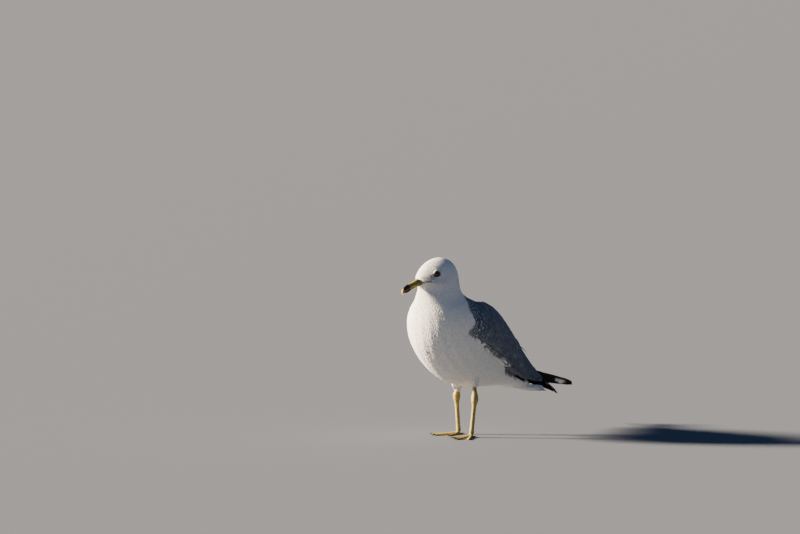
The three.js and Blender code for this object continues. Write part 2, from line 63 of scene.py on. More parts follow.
Array = NDArray[np.float64]
Generator = np.random.Generator
Material = bpy.types.Material
MM = 0.001  # metres in a millimetre
TAIL_TIP_Y = 227.0  # where the CAD source has the tail's tip, before it centres the bird
TAIL_ROLL = math.tan(math.radians(9.0))  # how fast the tail falls towards the bird's left


class Side(Enum):
    """The bird's own left and right, with the sign of X there."""

    LEFT = 1
    RIGHT = -1

    @property
    def word(self) -> str:
        """The side's name as node names have it."""
        return self.name.lower()


# ---- numbers and places
def ease(low: float, high: float, value: Array) -> Array:
    """Ease from 0 at low to 1 at high.

    Args:
        low: value at which the step starts.
        high: value at which it is complete; it may be below low.
        value: numbers to judge.

    Returns:
        The share of the step reached, from 0 to 1.
    """
    share = np.clip((np.asarray(value, float) - low) / (high - low), 0.0, 1.0)
    return share * share * (3.0 - 2.0 * share)


def unit(vectors: Array) -> Array:
    """Vectors of length 1 along the last axis."""
    return vectors / np.maximum(norm(vectors, axis=-1, keepdims=True), 1e-12)


def along(rows: Array, index: Array) -> Array:
    """Catmull-Rom values of a table at fractional row numbers.

    Args:
        rows: table with one row for each station.
        index: row numbers, clamped to the table.

    Returns:
        One interpolated row for each index.
    """
    table = np.asarray(rows, float)
    table = table[:, None] if table.ndim == 1 else table
    last = len(table) - 1
    place = np.clip(np.asarray(index, float), 0, last)
    i = np.minimum(place.astype(int), last - 1)
    t = (place - i)[..., None]
    before, start = table[np.maximum(i - 1, 0)], table[i]
    end, after = table[i + 1], table[np.minimum(i + 2, last)]
    bend = 2 * before - 5 * start + 4 * end - after
    twist = 3 * start - before - 3 * end + after
    return 0.5 * (2 * start + (end - before) * t + bend * t**2 + twist * t**3)


def box_of(node: str) -> tuple[Array, Array]:
    """Lowest and highest corner of a CAD node, in millimetres."""
    low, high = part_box(node)
    return np.array(low) / MM, np.array(high) / MM


SOURCE_SHIFT = np.array([0.0, box_of("tail")[1][1] - TAIL_TIP_Y, 0.0])


def placed(points: Array) -> Array:
    """Points given as the CAD source has them, moved to the centred frame."""
    return np.asarray(points, float) + SOURCE_SHIFT


@dataclass
class HeadFrame:
    """The head's own frame, between the eyes, pitched down and turned to the bird's right.

    Places in it are forward, to the bird's left, and up.
    """

    pitch: float = 20.0
    turn: float = 17.0
    eye_forward: float = -1.4
    eye_up: float = -2.2

    def __post_init__(self) -> None:
        """Work out the axes, and the origin from the eyes of the CAD frame."""
        p, t = math.radians(self.pitch), math.radians(self.turn)
        spin = np.array([[math.cos(t), math.sin(t), 0], [-math.sin(t), math.cos(t), 0], [0, 0, 1]])
        forward = spin @ np.array([0, -math.cos(p), -math.sin(p)])
        up = spin @ np.array([0, -math.sin(p), math.cos(p)])
        self.axes = np.array([forward, spin @ np.array([1.0, 0, 0]), up])
        eyes = [np.mean(box_of(f"eye_{side.word}"), axis=0) for side in Side]
        self.origin = np.mean(eyes, axis=0) - np.array([self.eye_forward, 0, self.eye_up]) @ self.axes

    def place(self, local: Array) -> Array:
        """Points of the head's frame in the part's frame."""
        return self.origin + np.asarray(local, float) @ self.axes

    def local(self, points: Array) -> Array:
        """Points of the part's frame in the head's frame."""
        return (points - self.origin) @ self.axes.T


HEAD = HeadFrame()

# ---- meshes
def triangle_normals(points: Array, triangles: Array) -> Array:
    """Cross products of the triangles' edges, twice their area long."""
    a, b, c = (points[triangles[:, i]] for i in range(3))
    return np.cross(b - a, c - a)


def gathered(index: Array, rows: Array, count: int) -> Array:
    """The sum of the rows that belong to each of count vertices, by the rows' vertex numbers."""
    return np.stack([np.bincount(index, column, count) for column in rows.T], 1)


def vertex_normals(points: Array, triangles: Array) -> Array:
    """Area-weighted unit normals at the vertices."""
    crosses = triangle_normals(points, triangles)
    return unit(sum(gathered(triangles[:, corner], crosses, len(points)) for corner in range(3)))


def wall_corners(rows: int, rings: int, sides: int) -> list[Array]:
    """Number the corners of the faces in a tube's wall.

    Args:
        rows: how many rows of faces it has, one for each gap between rings.
        rings: how many rings it has, after which the numbers start again.
        sides: points in each ring.

    Returns:
        For each face the corner on this ring, the next one round it, and the same two ahead.
    """
    r, s = np.meshgrid(np.arange(rows), np.arange(sides), indexing="ij")
    ahead, turned = (r + 1) % rings, (s + 1) % sides
    return [(i * sides + j).ravel() for i, j in ((r, s), (r, turned), (ahead, s), (ahead, turned))]


def facing_out(points: Array, triangles: Array) -> Array:
    """The triangles of a closed mesh, turned over if they face in."""
    volume = (points[triangles[:, 0]] * triangle_normals(points, triangles)).sum()
    return triangles if volume > 0 else triangles[:, ::-1]


def lookup(places: Array) -> KDTree:
    """Make a tree that finds the nearest of some places.

    Args:
        places: the places.

    Returns:
        The tree, which gives their numbers.
    """
    tree = KDTree(len(places))
    for i, place in enumerate(places):
        tree.insert(place, i)
    tree.balance()
    return tree


class Net:
    """The edges of a triangle mesh, for smoothing and for walking over it."""

    def __init__(self, triangles: Array, count: int) -> None:
        """Collect each edge once.

        Args:
            triangles: corner numbers.
            count: number of vertices.
        """
        pairs = np.concatenate([triangles[:, [0, 1]], triangles[:, [1, 2]], triangles[:, [2, 0]]])
        pairs = np.unique(np.sort(pairs, axis=1), axis=0)
        self.a, self.b, self.count = pairs[:, 0], pairs[:, 1], count
        ends = np.concatenate([self.a, self.b])
        self.degree = np.maximum(np.bincount(ends, minlength=count), 1)[:, None]

    def smoothed(self, values: Array, rounds: int, share: float = 0.5) -> Array:
        """Move each vertex's values towards the mean of its neighbours.

        Args:
            values: one row for each vertex.
            rounds: how many times.
            share: how far each time.

        Returns:
            The smoothed rows.
        """
        rows = np.array(values, float).reshape(self.count, -1)
        for _ in range(rounds):
            total = gathered(self.a, rows[self.b], self.count)
            total += gathered(self.b, rows[self.a], self.count)
            rows += (total / self.degree - rows) * share
        return rows.reshape(np.shape(values))

    def distances(self, points: Array, starts: Array) -> Array:
        """Find the shortest ways along the edges from the nearest start.

        Args:
            points: the vertices.
            starts: numbers of the vertices where the ways start.

        Returns:
            The way's length to every vertex, infinite where none leads.
        """
        length = norm(points[self.a] - points[self.b], axis=1)
        best, before = np.full(self.count, np.inf), None
        best[starts] = 0.0
        while before is None or (best < before).any():
            before = best.copy()
            np.minimum.at(best, self.b, before[self.a] + length)
            np.minimum.at(best, self.a, before[self.b] + length)
        return best


@dataclass
class MeshData:
    """Triangles with what their vertices carry, before they become a Blender mesh.

    chart holds a UV for each vertex, values holds named numbers or vectors for shaders, and
    normals holds a vector for each corner of each triangle.
    """

    points: Array
    triangles: Array
    chart: Array | None = None
    values: dict[str, Array] | None = None
    normals: Array | None = None

    def mirrored(self) -> "MeshData":
        """The same mesh on the other side of the bird.

        Returns:
            The mirrored mesh.
        """
        flip = np.array([-1.0, 1.0, 1.0])
        normals = None if self.normals is None else (self.normals * flip)[:, ::-1]
        return MeshData(self.points * flip, self.triangles[:, ::-1], self.chart, self.values, normals)


def joined(parts: list[MeshData]) -> MeshData:
    """Join meshes that carry nothing but their map.

    Args:
        parts: the meshes.

    Returns:
        All of them as one.
    """
    starts = np.cumsum([0] + [len(part.points) for part in parts])
    triangles = np.concatenate([part.triangles + start for part, start in zip(parts, starts)])
    points, chart = (np.concatenate([getattr(part, key) for part in parts]) for key in ("points", "chart"))
    return MeshData(points, triangles, chart)


def plain_mesh(name: str, points: Array, faces: Array) -> bpy.types.Mesh:
    """A Blender mesh with these vertices and faces.

    Args:
        name: the mesh's name.
        points: the vertices.
        faces: corner numbers.

    Returns:
        The mesh.
    """
    mesh = bpy.data.meshes.new(name)
    mesh.from_pydata(points.tolist(), [], faces.tolist())
    return mesh


def added(name: str, data: bpy.types.ID) -> bpy.types.Object:
    """A new object in the scene.

    Args:
        name: the object's name.
        data: its mesh, lamp or camera.

    Returns:
        The object.
    """
    item = bpy.data.objects.new(name, data)
    bpy.context.scene.collection.objects.link(item)
    return item


def arrays_of(mesh: bpy.types.Mesh) -> tuple[Array, Array]:
    """Read a Blender mesh.

    Args:
        mesh: the mesh.

    Returns:
        Its vertices and its triangles.
    """
    mesh.calc_loop_triangles()
    points, triangles = np.zeros(len(mesh.vertices) * 3), np.zeros(len(mesh.loop_triangles) * 3, int)
    mesh.vertices.foreach_get("co", points)
    mesh.loop_triangles.foreach_get("vertices", triangles)
    return points.reshape(-1, 3), triangles.reshape(-1, 3)


def make_piece(
    name: str, data: MeshData, material: Material, stands_for: tuple[str, ...] = ()
) -> None:
    """Turn mesh data into a piece that rides on the part.

    Args:
        name: the piece's name.
        data: the mesh, in millimetres.
        material: its finish.
        stands_for: CAD nodes that it replaces.
    """
    mesh = plain_mesh(name, data.points * MM, data.triangles)
    mesh.polygons.foreach_set("use_smooth", np.ones(len(data.triangles), bool))
    if data.chart is not None:
        layer = mesh.uv_layers.new(name="OFBake")
        layer.data.foreach_set("uv", data.chart[data.triangles.ravel()].astype(np.float32).ravel())
    for key, numbers in (data.values or {}).items():
        kind, field = ("FLOAT", "value") if numbers.ndim == 1 else ("FLOAT_VECTOR", "vector")
        attribute = mesh.attributes.new(key, kind, "POINT")
        attribute.data.foreach_set(field, numbers.astype(np.float32).ravel())
    if data.normals is not None:
        shading = mesh.attributes.new("custom_normal", "FLOAT_VECTOR", "CORNER")
        shading.data.foreach_set("vector", data.normals.astype(np.float32).ravel())
    mesh.materials.append(material)
    mesh.update()
    piece = added(name, mesh)
    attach(piece, "root")
    if stands_for:
        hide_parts(*stands_for)
    log.info("%s: %d triangles", name, len(data.triangles))


def make_pair(name: str, data: MeshData, material: Material) -> None:
    """Make the grey pieces of the left wing and, mirrored, of the right one."""
    make_piece(f"{name}_left", data, material)
    make_piece(f"{name}_right", data.mirrored(), material)


def remeshed(nodes: tuple, voxel: float, grow: float, more: tuple | None = None) -> tuple[Array, Array]:
    """One closed mesh round several CAD nodes and perhaps one more solid.

    Args:
        nodes: the CAD nodes.
        voxel: size of the steps in the new mesh.
        grow: how far each node swells first, so that neighbours meet.
        more: the vertices and triangles of the other solid.

    Returns:
        The vertices and the triangles.
    """
    shell = bmesh.new()
    for node in nodes:
        shell.from_mesh(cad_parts[node].data)
    if more is not None:
        mesh = plain_mesh("more", more[0] * MM, more[1])
        shell.from_mesh(mesh)
        bpy.data.meshes.remove(mesh)
    bmesh.ops.remove_doubles(shell, verts=shell.verts, dist=1e-6)
    shell.normal_update()
    for vertex in shell.verts:
        vertex.co += vertex.normal * grow * MM
    mesh = bpy.data.meshes.new("shell")
    shell.to_mesh(mesh)
    shell.free()
    body = added("shell", mesh)
    remesh = body.modifiers.new("remesh", "REMESH")
    remesh.mode = "VOXEL"
    remesh.voxel_size = voxel * MM
    bpy.context.view_layer.update()
    result = body.evaluated_get(bpy.context.evaluated_depsgraph_get()).to_mesh()
    points, triangles = arrays_of(result)
    bpy.data.objects.remove(body)
    bpy.data.meshes.remove(mesh)
    return points / MM, triangles


def refined(
    points: Array, triangles: Array, centres: Array, reach: float, rounds: int
) -> tuple[Array, Array]:
    """Split the triangles near some places.

    Args:
        points: vertices.
        triangles: corner numbers.
        centres: the places.
        reach: how near an edge must be.
        rounds: how many times its edges are halved.

    Returns:
        The new vertices and triangles.
    """
    mesh = plain_mesh("finer", points, triangles)
    finer = bmesh.new()
    finer.from_mesh(mesh)
    for _ in range(rounds):
        spots = np.array([(e.verts[0].co + e.verts[1].co) / 2 for e in finer.edges])
        gaps = norm(spots[:, None] - centres[None], axis=2).min(axis=1)
        near = [e for e, gap in zip(finer.edges, gaps.tolist()) if gap < reach]
        bmesh.ops.subdivide_edges(finer, edges=near, cuts=1, use_grid_fill=True)
        bmesh.ops.triangulate(finer, faces=finer.faces)
    finer.to_mesh(mesh)
    finer.free()
    result = arrays_of(mesh)
    bpy.data.meshes.remove(mesh)
    return result


def lofted(rings: Array) -> tuple[Array, Array]:
    """Closed tube through rings of equal length, with a fan over each end.

    Args:
        rings: points as (ring, step round it, XYZ).

    Returns:
        The vertices and the triangles, facing out.
    """
    count, sides = rings.shape[:2]
    points = np.concatenate([rings.reshape(-1, 3), rings[[0, -1]].mean(axis=1)])
    a, b, c, d = wall_corners(count - 1, count, sides)
    edge = np.arange(sides)
    turn = (edge + 1) % sides
    top = (count - 1) * sides
    start = np.stack([np.full(sides, count * sides), edge, turn], 1)
    end = np.stack([np.full(sides, count * sides + 1), top + turn, top + edge], 1)
    walls = [np.stack([a, d, b], 1), np.stack([a, c, d], 1)]
    return points, facing_out(points, np.concatenate([*walls, start, end]))


# ---- shader tools
def linear(code: str) -> tuple[float, float, float, float]:
    """Linear RGBA of an sRGB hex colour.

    Args:
        code: the colour, with a hash and six digits.

    Returns:
        Red, green, blue and a full alpha.
    """
    parts = [int(code[i : i + 2], 16) / 255 for i in (1, 3, 5)]
    bent = [c / 12.92 if c <= 0.04045 else ((c + 0.055) / 1.055) ** 2.4 for c in parts]
    return (*bent, 1.0)


class NodeNet:
    """A material and its nodes, while a finish puts them together."""

    def __init__(self, name: str) -> None:
        """Start a node material with no nodes in it.

        Args:
            name: the material's name.
        """
        self.material = bpy.data.materials.new(name)
        self.material.use_nodes = True
        self.tree = self.material.node_tree
        self.tree.nodes.clear()

    def add(
        self, kind: str, inputs: dict | None = None, stops: tuple | list = (), **settings: object
    ) -> bpy.types.bpy_prop_collection:
        """Add a node with its settings, links and values.

        Args:
            kind: the node's type, without the ShaderNode that all of them start with.
            inputs: values or output sockets, by input name or number.
            stops: position and hex colour of each stop, if the node has a colour ramp.
            settings: the node's own properties.

        Returns:
            The new node's outputs.
        """
        made = self.tree.nodes.new(f"ShaderNode{kind}")
        for name, value in settings.items():
            setattr(made, name, value)
        for name, value in (inputs or {}).items():
            if isinstance(value, bpy.types.NodeSocket):
                self.tree.links.new(value, made.inputs[name])
            else:
                made.inputs[name].default_value = value
        for i, (position, colour) in enumerate(stops):
            elements = made.color_ramp.elements
            stop = elements[i] if i < 2 else elements.new(position)
            stop.position, stop.color = position, linear(colour)
        return made.outputs

    def finished(self, inputs: dict) -> Material:
        """The material, with a Principled shader that has these inputs."""
        self.add("OutputMaterial", {"Surface": self.add("BsdfPrincipled", inputs)["BSDF"]})
        return self.material


# ---- finishes
@dataclass(frozen=True)
class PlumageFinish:
    """Feather keratin grown as fine barbs: matte, softly scattering, a little sheen at the rim.

    Each vane carries tone, 0 white to 1 grey, dark, 0 to 1 black, stain, 0 to 1 dusky, and vane,
    its place along and across the feather in millimetres with the feather's own random number.
    """

    name: str = "feather_keratin_barbed"
    white: str = "#F6F3EC"
    grey: str = "#5D6470"
    black: str = "#141417"
    dusky: str = "#6E6A66"
    spread: tuple[float, float] = (0.94, 1.03)  # how feathers differ in brightness
    barb_pitch: float = 0.5  # real barbs are about 0.2 mm apart: drawn coarser to show
    barb_slope: float = 0.9  # how fast a barb runs towards the tip as it leaves the shaft
    barb_depth: float = 0.25
    roughness: float = 0.82

    def build(self) -> Material:
        """Make the material.

        Returns:
            The feather material, driven by the values on the mesh.
        """
        net = NodeNet(self.name)
        place = net.add("SeparateXYZ", {0: net.add("Attribute", attribute_name="vane")["Vector"]})
        colour = linear(self.white)
        for key, code in (("tone", self.grey), ("stain", self.dusky), ("dark", self.black)):
            share = net.add("Attribute", attribute_name=key)["Fac"]
            inputs = {"Factor": share, "A": colour, "B": linear(code)}
            colour = net.add("Mix", inputs, data_type="RGBA")["Result"]
        low, high = self.spread
        spread = net.add("MapRange", {"Value": place["Z"], "To Min": low, "To Max": high})["Result"]
        shade = net.add("HueSaturation", {"Value": spread, "Color": colour})["Color"]
        aside = net.add("Math", {0: place["Y"]}, operation="ABSOLUTE")[0]
        sloped = {0: aside, 1: -self.barb_slope, 2: place["X"]}
        along_shaft = net.add("Math", sloped, operation="MULTIPLY_ADD")[0]
        turns = {0: along_shaft, 1: 2 * math.pi / self.barb_pitch}
        barbs = net.add("Math", {0: net.add("Math", turns, operation="MULTIPLY")[0]}, operation="SINE")[0]
        relief = {"Strength": self.barb_depth, "Distance": 0.05 * MM, "Height": barbs}
        return net.finished({
            "Base Color": shade, "Normal": net.add("Bump", relief)["Normal"], "Roughness": self.roughness,
            "IOR": 1.54, "Specular IOR Level": 0.12, "Sheen Weight": 0.02, "Sheen Roughness": 0.5,
        })


@dataclass(frozen=True)
class SkinFinish:
    """Bird skin grown in fine pimples, the quill follicles: dull, and coloured like its plumage."""

    name: str = "bird_skin_pimpled"
    white: str = "#D9D0C6"
    grey: str = "#6F7782"
    pimple: float = 2.4  # millimetres between follicles
    roughness: float = 0.8

    def build(self) -> Material:
        """Make the material.

        Returns:
            The skin material, which carries the same grey as the coat.
        """
        net = NodeNet(self.name)
        share = net.add("Attribute", attribute_name="tone")["Fac"]
        inputs = {"Factor": share, "A": linear(self.white), "B": linear(self.grey)}
        colour = net.add("Mix", inputs, data_type="RGBA")["Result"]
        place = net.add("TexCoord")["Object"]
        cells = net.add("TexVoronoi", {"Vector": place, "Scale": 1 / (self.pimple * MM)})["Distance"]
        relief = net.add("Bump", {"Strength": 0.4, "Distance": 0.2 * MM, "Height": cells}, invert=True)
        return net.finished({
            "Base Color": colour, "Normal": relief["Normal"], "Roughness": self.roughness, "IOR": 1.45,
        })


@dataclass(frozen=True)
class HornFinish:
    """Bill horn grown in thin layers: satin, with fine growth lines and a stained ring.

    The mesh carries place, the head's own forward, side and up in millimetres.
    """

    name: str = "bill_horn_layered"
    # The stops at 12 and 18.5 mm darken the bill's root where it meets the face: painted shade in that
    # corner, with the gape's dark bare skin.
    stops: tuple = (
        (12.0, "#1C150E"), (18.5, "#3F3618"), (24.0, "#6F6831"), (34.0, "#978B3D"), (41.2, "#857733"),
        (42.8, "#15110D"), (51.8, "#100D0B"), (53.0, "#7A3F12"), (54.4, "#D8932A"), (57.5, "#E8C45A"),
    )
    reach: tuple = (10.0, 60.0)  # millimetres that the ramp spans
    wander: float = 2.4  # how far the ring's edges stray, in millimetres
    layer: float = 1.1  # growth lines are finer, about 0.3 mm: drawn coarser to show
    roughness: float = 0.36

    def build(self) -> Material:
        """Make the material.

        Returns:
            The horn material, whose colour runs along the bill.
        """
        net = NodeNet(self.name)
        low, high = self.reach
        place = net.add("Attribute", attribute_name="place")["Vector"]
        stray = net.add("TexNoise", {"Vector": place, "Scale": 0.45, "Detail": 3.0})["Fac"]
        strayed = {0: stray, 1: self.wander, 2: net.add("SeparateXYZ", {0: place})["X"]}
        edge = net.add("Math", strayed, operation="MULTIPLY_ADD")[0]
        middle = self.wander / 2  # what the noise adds on the whole
        span = {"Value": edge, "From Min": low + middle, "From Max": high + middle}
        share = net.add("MapRange", span)["Result"]
        ramp_stops = [((at - low) / (high - low), code) for at, code in self.stops]
        colour = net.add("ValToRGB", {"Fac": share}, ramp_stops)["Color"]
        lines = net.add("TexNoise", {"Vector": place, "Scale": 1 / self.layer, "Detail": 4.0})["Fac"]
        shade = net.add("MapRange", {"Value": lines, "To Min": 0.82, "To Max": 1.18})["Result"]
        worn = net.add("HueSaturation", {"Value": shade, "Color": colour})["Color"]
        relief = net.add("Bump", {"Strength": 0.3, "Distance": 0.1 * MM, "Height": lines})["Normal"]
        return net.finished({
            "Base Color": worn, "Normal": relief, "Roughness": self.roughness, "IOR": 1.55,
        })


@dataclass(frozen=True)
class GrainFinish:
    """A surface with one fine grain that shows in its colour and, where it has any, its relief."""

    name: str
    stops: tuple  # share of the grain's height and hex colour
    grain: float  # millimetres across one streak or pebble
    roughness: float
    ior: float = 1.5
    detail: float = 3.0
    pebbled: bool = False
    relief: float = 0.0

    def build(self) -> Material:
        """Make the material.

        Returns:
            The material, with streaks or pebbles.
        """
        net = NodeNet(self.name)
        pattern = {"Vector": net.add("TexCoord")["Object"], "Scale": 1 / (self.grain * MM)}
        if self.pebbled:
            height = net.add("TexVoronoi", pattern)["Distance"]
        else:
            height = net.add("TexNoise", pattern | {"Detail": self.detail})["Fac"]
        colour = net.add("ValToRGB", {"Fac": height}, self.stops)["Color"]
        inputs = {"Base Color": colour, "Roughness": self.roughness, "IOR": self.ior}
        if self.relief > 0:
            relief = {"Strength": self.relief, "Distance": 0.1 * MM, "Height": height}
            inputs["Normal"] = net.add("Bump", relief, invert=self.pebbled)["Normal"]
        return net.finished(inputs)


# Claw horn grown and worn smooth: dark, satin, paler where it is rubbed thin
CLAW_HORN = GrainFinish(
    "claw_horn_worn", ((0.4, "#15110E"), (0.8, "#4A3B2C")), 1.2, 0.38, ior=1.55, relief=0.25
)
# Bare lid skin, pebbled and a little moist: dark brown-red
LID_SKIN = GrainFinish(
    "lid_skin_pebbled", ((0.1, "#5A2417"), (0.6, "#1C0E0A")), 0.5, 0.45, ior=1.45, pebbled=True, relief=0.5
)
# Matte board, rolled with paint: an even ground with a faint stipple
FLOOR_BOARD = GrainFinish("floor_board_painted", ((0.3, "#596069"), (0.7, "#5F656E")), 4.0, 0.9, detail=2.0)


@dataclass(frozen=True)
class LegSkinFinish:
    """Leg skin grown in horny plates: waxy yellow, darker between the plates and on the webs.

    The mesh carries groove, 0 on a plate and 1 between plates, and web, 1 on the webs.
    """

    name: str = "leg_skin_scaled"
    plate: str = "#C9B65E"
    groove: str = "#7A6430"
    web: str = "#7D5A34"
    blotch: str = "#A68F45"
    mottle: float = 5.0  # millimetres across a blotch
    wrinkle: float = 0.6  # millimetres across a fine wrinkle
    roughness: float = 0.46

    def build(self) -> Material:
        """Make the material.

        Returns:
            The leg material, driven by the values on the mesh.
        """
        net = NodeNet(self.name)
        place = net.add("TexCoord")["Object"]
        blotches = {"Vector": place, "Scale": 1 / (self.mottle * MM), "Detail": 5.0}
        base_stops = [(0.35, self.blotch), (0.62, self.plate)]
        colour = net.add("ValToRGB", {"Fac": net.add("TexNoise", blotches)["Fac"]}, base_stops)["Color"]
        for key, code in (("web", self.web), ("groove", self.groove)):
            share = net.add("Attribute", attribute_name=key)["Fac"]
            inputs = {"Factor": share, "A": colour, "B": linear(code)}
            colour = net.add("Mix", inputs, data_type="RGBA")["Result"]
        wrinkles = {"Vector": place, "Scale": 1 / (self.wrinkle * MM), "Detail": 2.0}
        height = net.add("TexNoise", wrinkles)["Fac"]
        relief = net.add("Bump", {"Strength": 0.3, "Distance": 0.06 * MM, "Height": height})["Normal"]
        return net.finished({
            "Base Color": colour, "Normal": relief, "Roughness": self.roughness, "IOR": 1.5,
            "Subsurface Weight": 0.08, "Subsurface Radius": (1.2 * MM, 0.5 * MM, 0.2 * MM),
            "Subsurface Scale": 1.0,
        })


@dataclass(frozen=True)
class EyeFinish:
    """The wet eye: black pupil, brown-amber iris with rays, dark rim, under a clear film.

    The mesh carries place, X the distance from the eye's axis and Y, Z round it, in millimetres.
    """

    name: str = "eye_wet"
    stops: tuple = (
        (0.0, "#020202"), (2.55, "#040303"), (2.75, "#3A2412"), (3.9, "#6B4A1E"), (4.35, "#1A0F08"),
        (5.0, "#0C0705"),
    )
    reach: float = 6.5
    ray: float = 0.3  # how far the iris's rays stray, in millimetres
    film_ior: float = 1.376  # the cornea's

    def build(self) -> Material:
        """Make the material.

        Returns:
            The eye material, whose colour runs out from the pupil.
        """
        net = NodeNet(self.name)
        place = net.add("Attribute", attribute_name="place")["Vector"]
        rays = net.add("TexNoise", {"Vector": place, "Scale": 2.2, "Detail": 3.0})["Fac"]
        strayed = {0: rays, 1: self.ray, 2: net.add("SeparateXYZ", {0: place})["X"]}
        edge = net.add("Math", strayed, operation="MULTIPLY_ADD")[0]
        span = {"Value": edge, "From Min": self.ray / 2, "From Max": self.reach}
        share = net.add("MapRange", span)["Result"]
        ramp_stops = [(at / self.reach, code) for at, code in self.stops]
        return net.finished({
            "Base Color": net.add("ValToRGB", {"Fac": share}, ramp_stops)["Color"], "Roughness": 0.3,
            "IOR": self.film_ior, "Coat Weight": 1.0, "Coat Roughness": 0.03, "Coat IOR": self.film_ior,
        })


# ---- the folded wing's surface
WING_UPPER = (
    (40, -6, 178), (39, 5, 191), (31, 26, 203), (22.5, 48, 204), (18, 70, 199),
    (15.5, 92, 189.5), (13.5, 113, 175.5), (12, 134, 157.5), (10, 156, 137.5),
    (8, 178, 117), (6, 200, 99), (4.6, 219, 85.5), (5, 232, 77),
)
WING_LOWER = (
    (44, -11, 166), (53, -2, 156), (56.5, 18, 144), (56, 42, 130.5), (53, 68, 118),
    (48, 91, 105.5), (42.5, 114, 95), (37, 137, 87.5), (31, 161, 81.5),
    (25, 185, 76.5), (18, 208, 72.5), (11.5, 225, 70.5), (7.5, 234, 71.5),
)
WING_SWELL = (2, 13.5, 18.5, 20, 19, 18, 15.6, 13, 9.4, 6.4, 4.2, 2.6, 1.2)


@dataclass
class FoldedWing:
    """The left wing's oval loft. Stations run from its bend, 0, to its tip, 12.

    Angles run round it in degrees: 0 on the outside, 90 at the upper edge, -90 at the lower.
    """

    last: int = len(WING_SWELL) - 1

    def point(self, station: Array, angle: Array) -> Array:
        """Find places on the wing's surface.

        Args:
            station: places along the wing.
            angle: places round it, in degrees.

        Returns:
            The points, in the part's frame.
        """
        upper, lower = along(WING_UPPER, station), along(WING_LOWER, station)
        swell = along(WING_SWELL, station)
        up = (upper - lower) / 2
        out = unit(np.stack([up[..., 2], 0 * up[..., 0], -up[..., 0]], -1)) * swell
        turn = np.radians(np.asarray(angle, float))[..., None]
        return placed((upper + lower) / 2 + out * np.cos(turn) + up * np.sin(turn))

    def frame(self, station: Array, angle: Array) -> tuple[Array, Array, Array]:
        """The surface's points, its normals out, and its directions towards the wing tip.

        Args:
            station: places along the wing.
            angle: places round it, in degrees.

        Returns:
            Points, unit normals and unit tangents.
        """
        station, angle = np.broadcast_arrays(np.asarray(station, float), np.asarray(angle, float))
        here = self.point(station, angle)
        ahead = self.point(station + 0.05, angle) - self.point(station - 0.05, angle)
        round_it = self.point(station, angle + 2.0) - self.point(station, angle - 2.0)
        normal = unit(np.cross(ahead, round_it))
        inward = placed((along(WING_UPPER, station) + along(WING_LOWER, station)) / 2) - here
        normal *= np.where((normal * inward).sum(-1, keepdims=True) > 0, -1.0, 1.0)
        return here, normal, unit(ahead)

    def swell(self, station: Array) -> Array:
        """How far the wing swells out, in millimetres."""
        return along(WING_SWELL, station)[..., 0]


WING = FoldedWing()


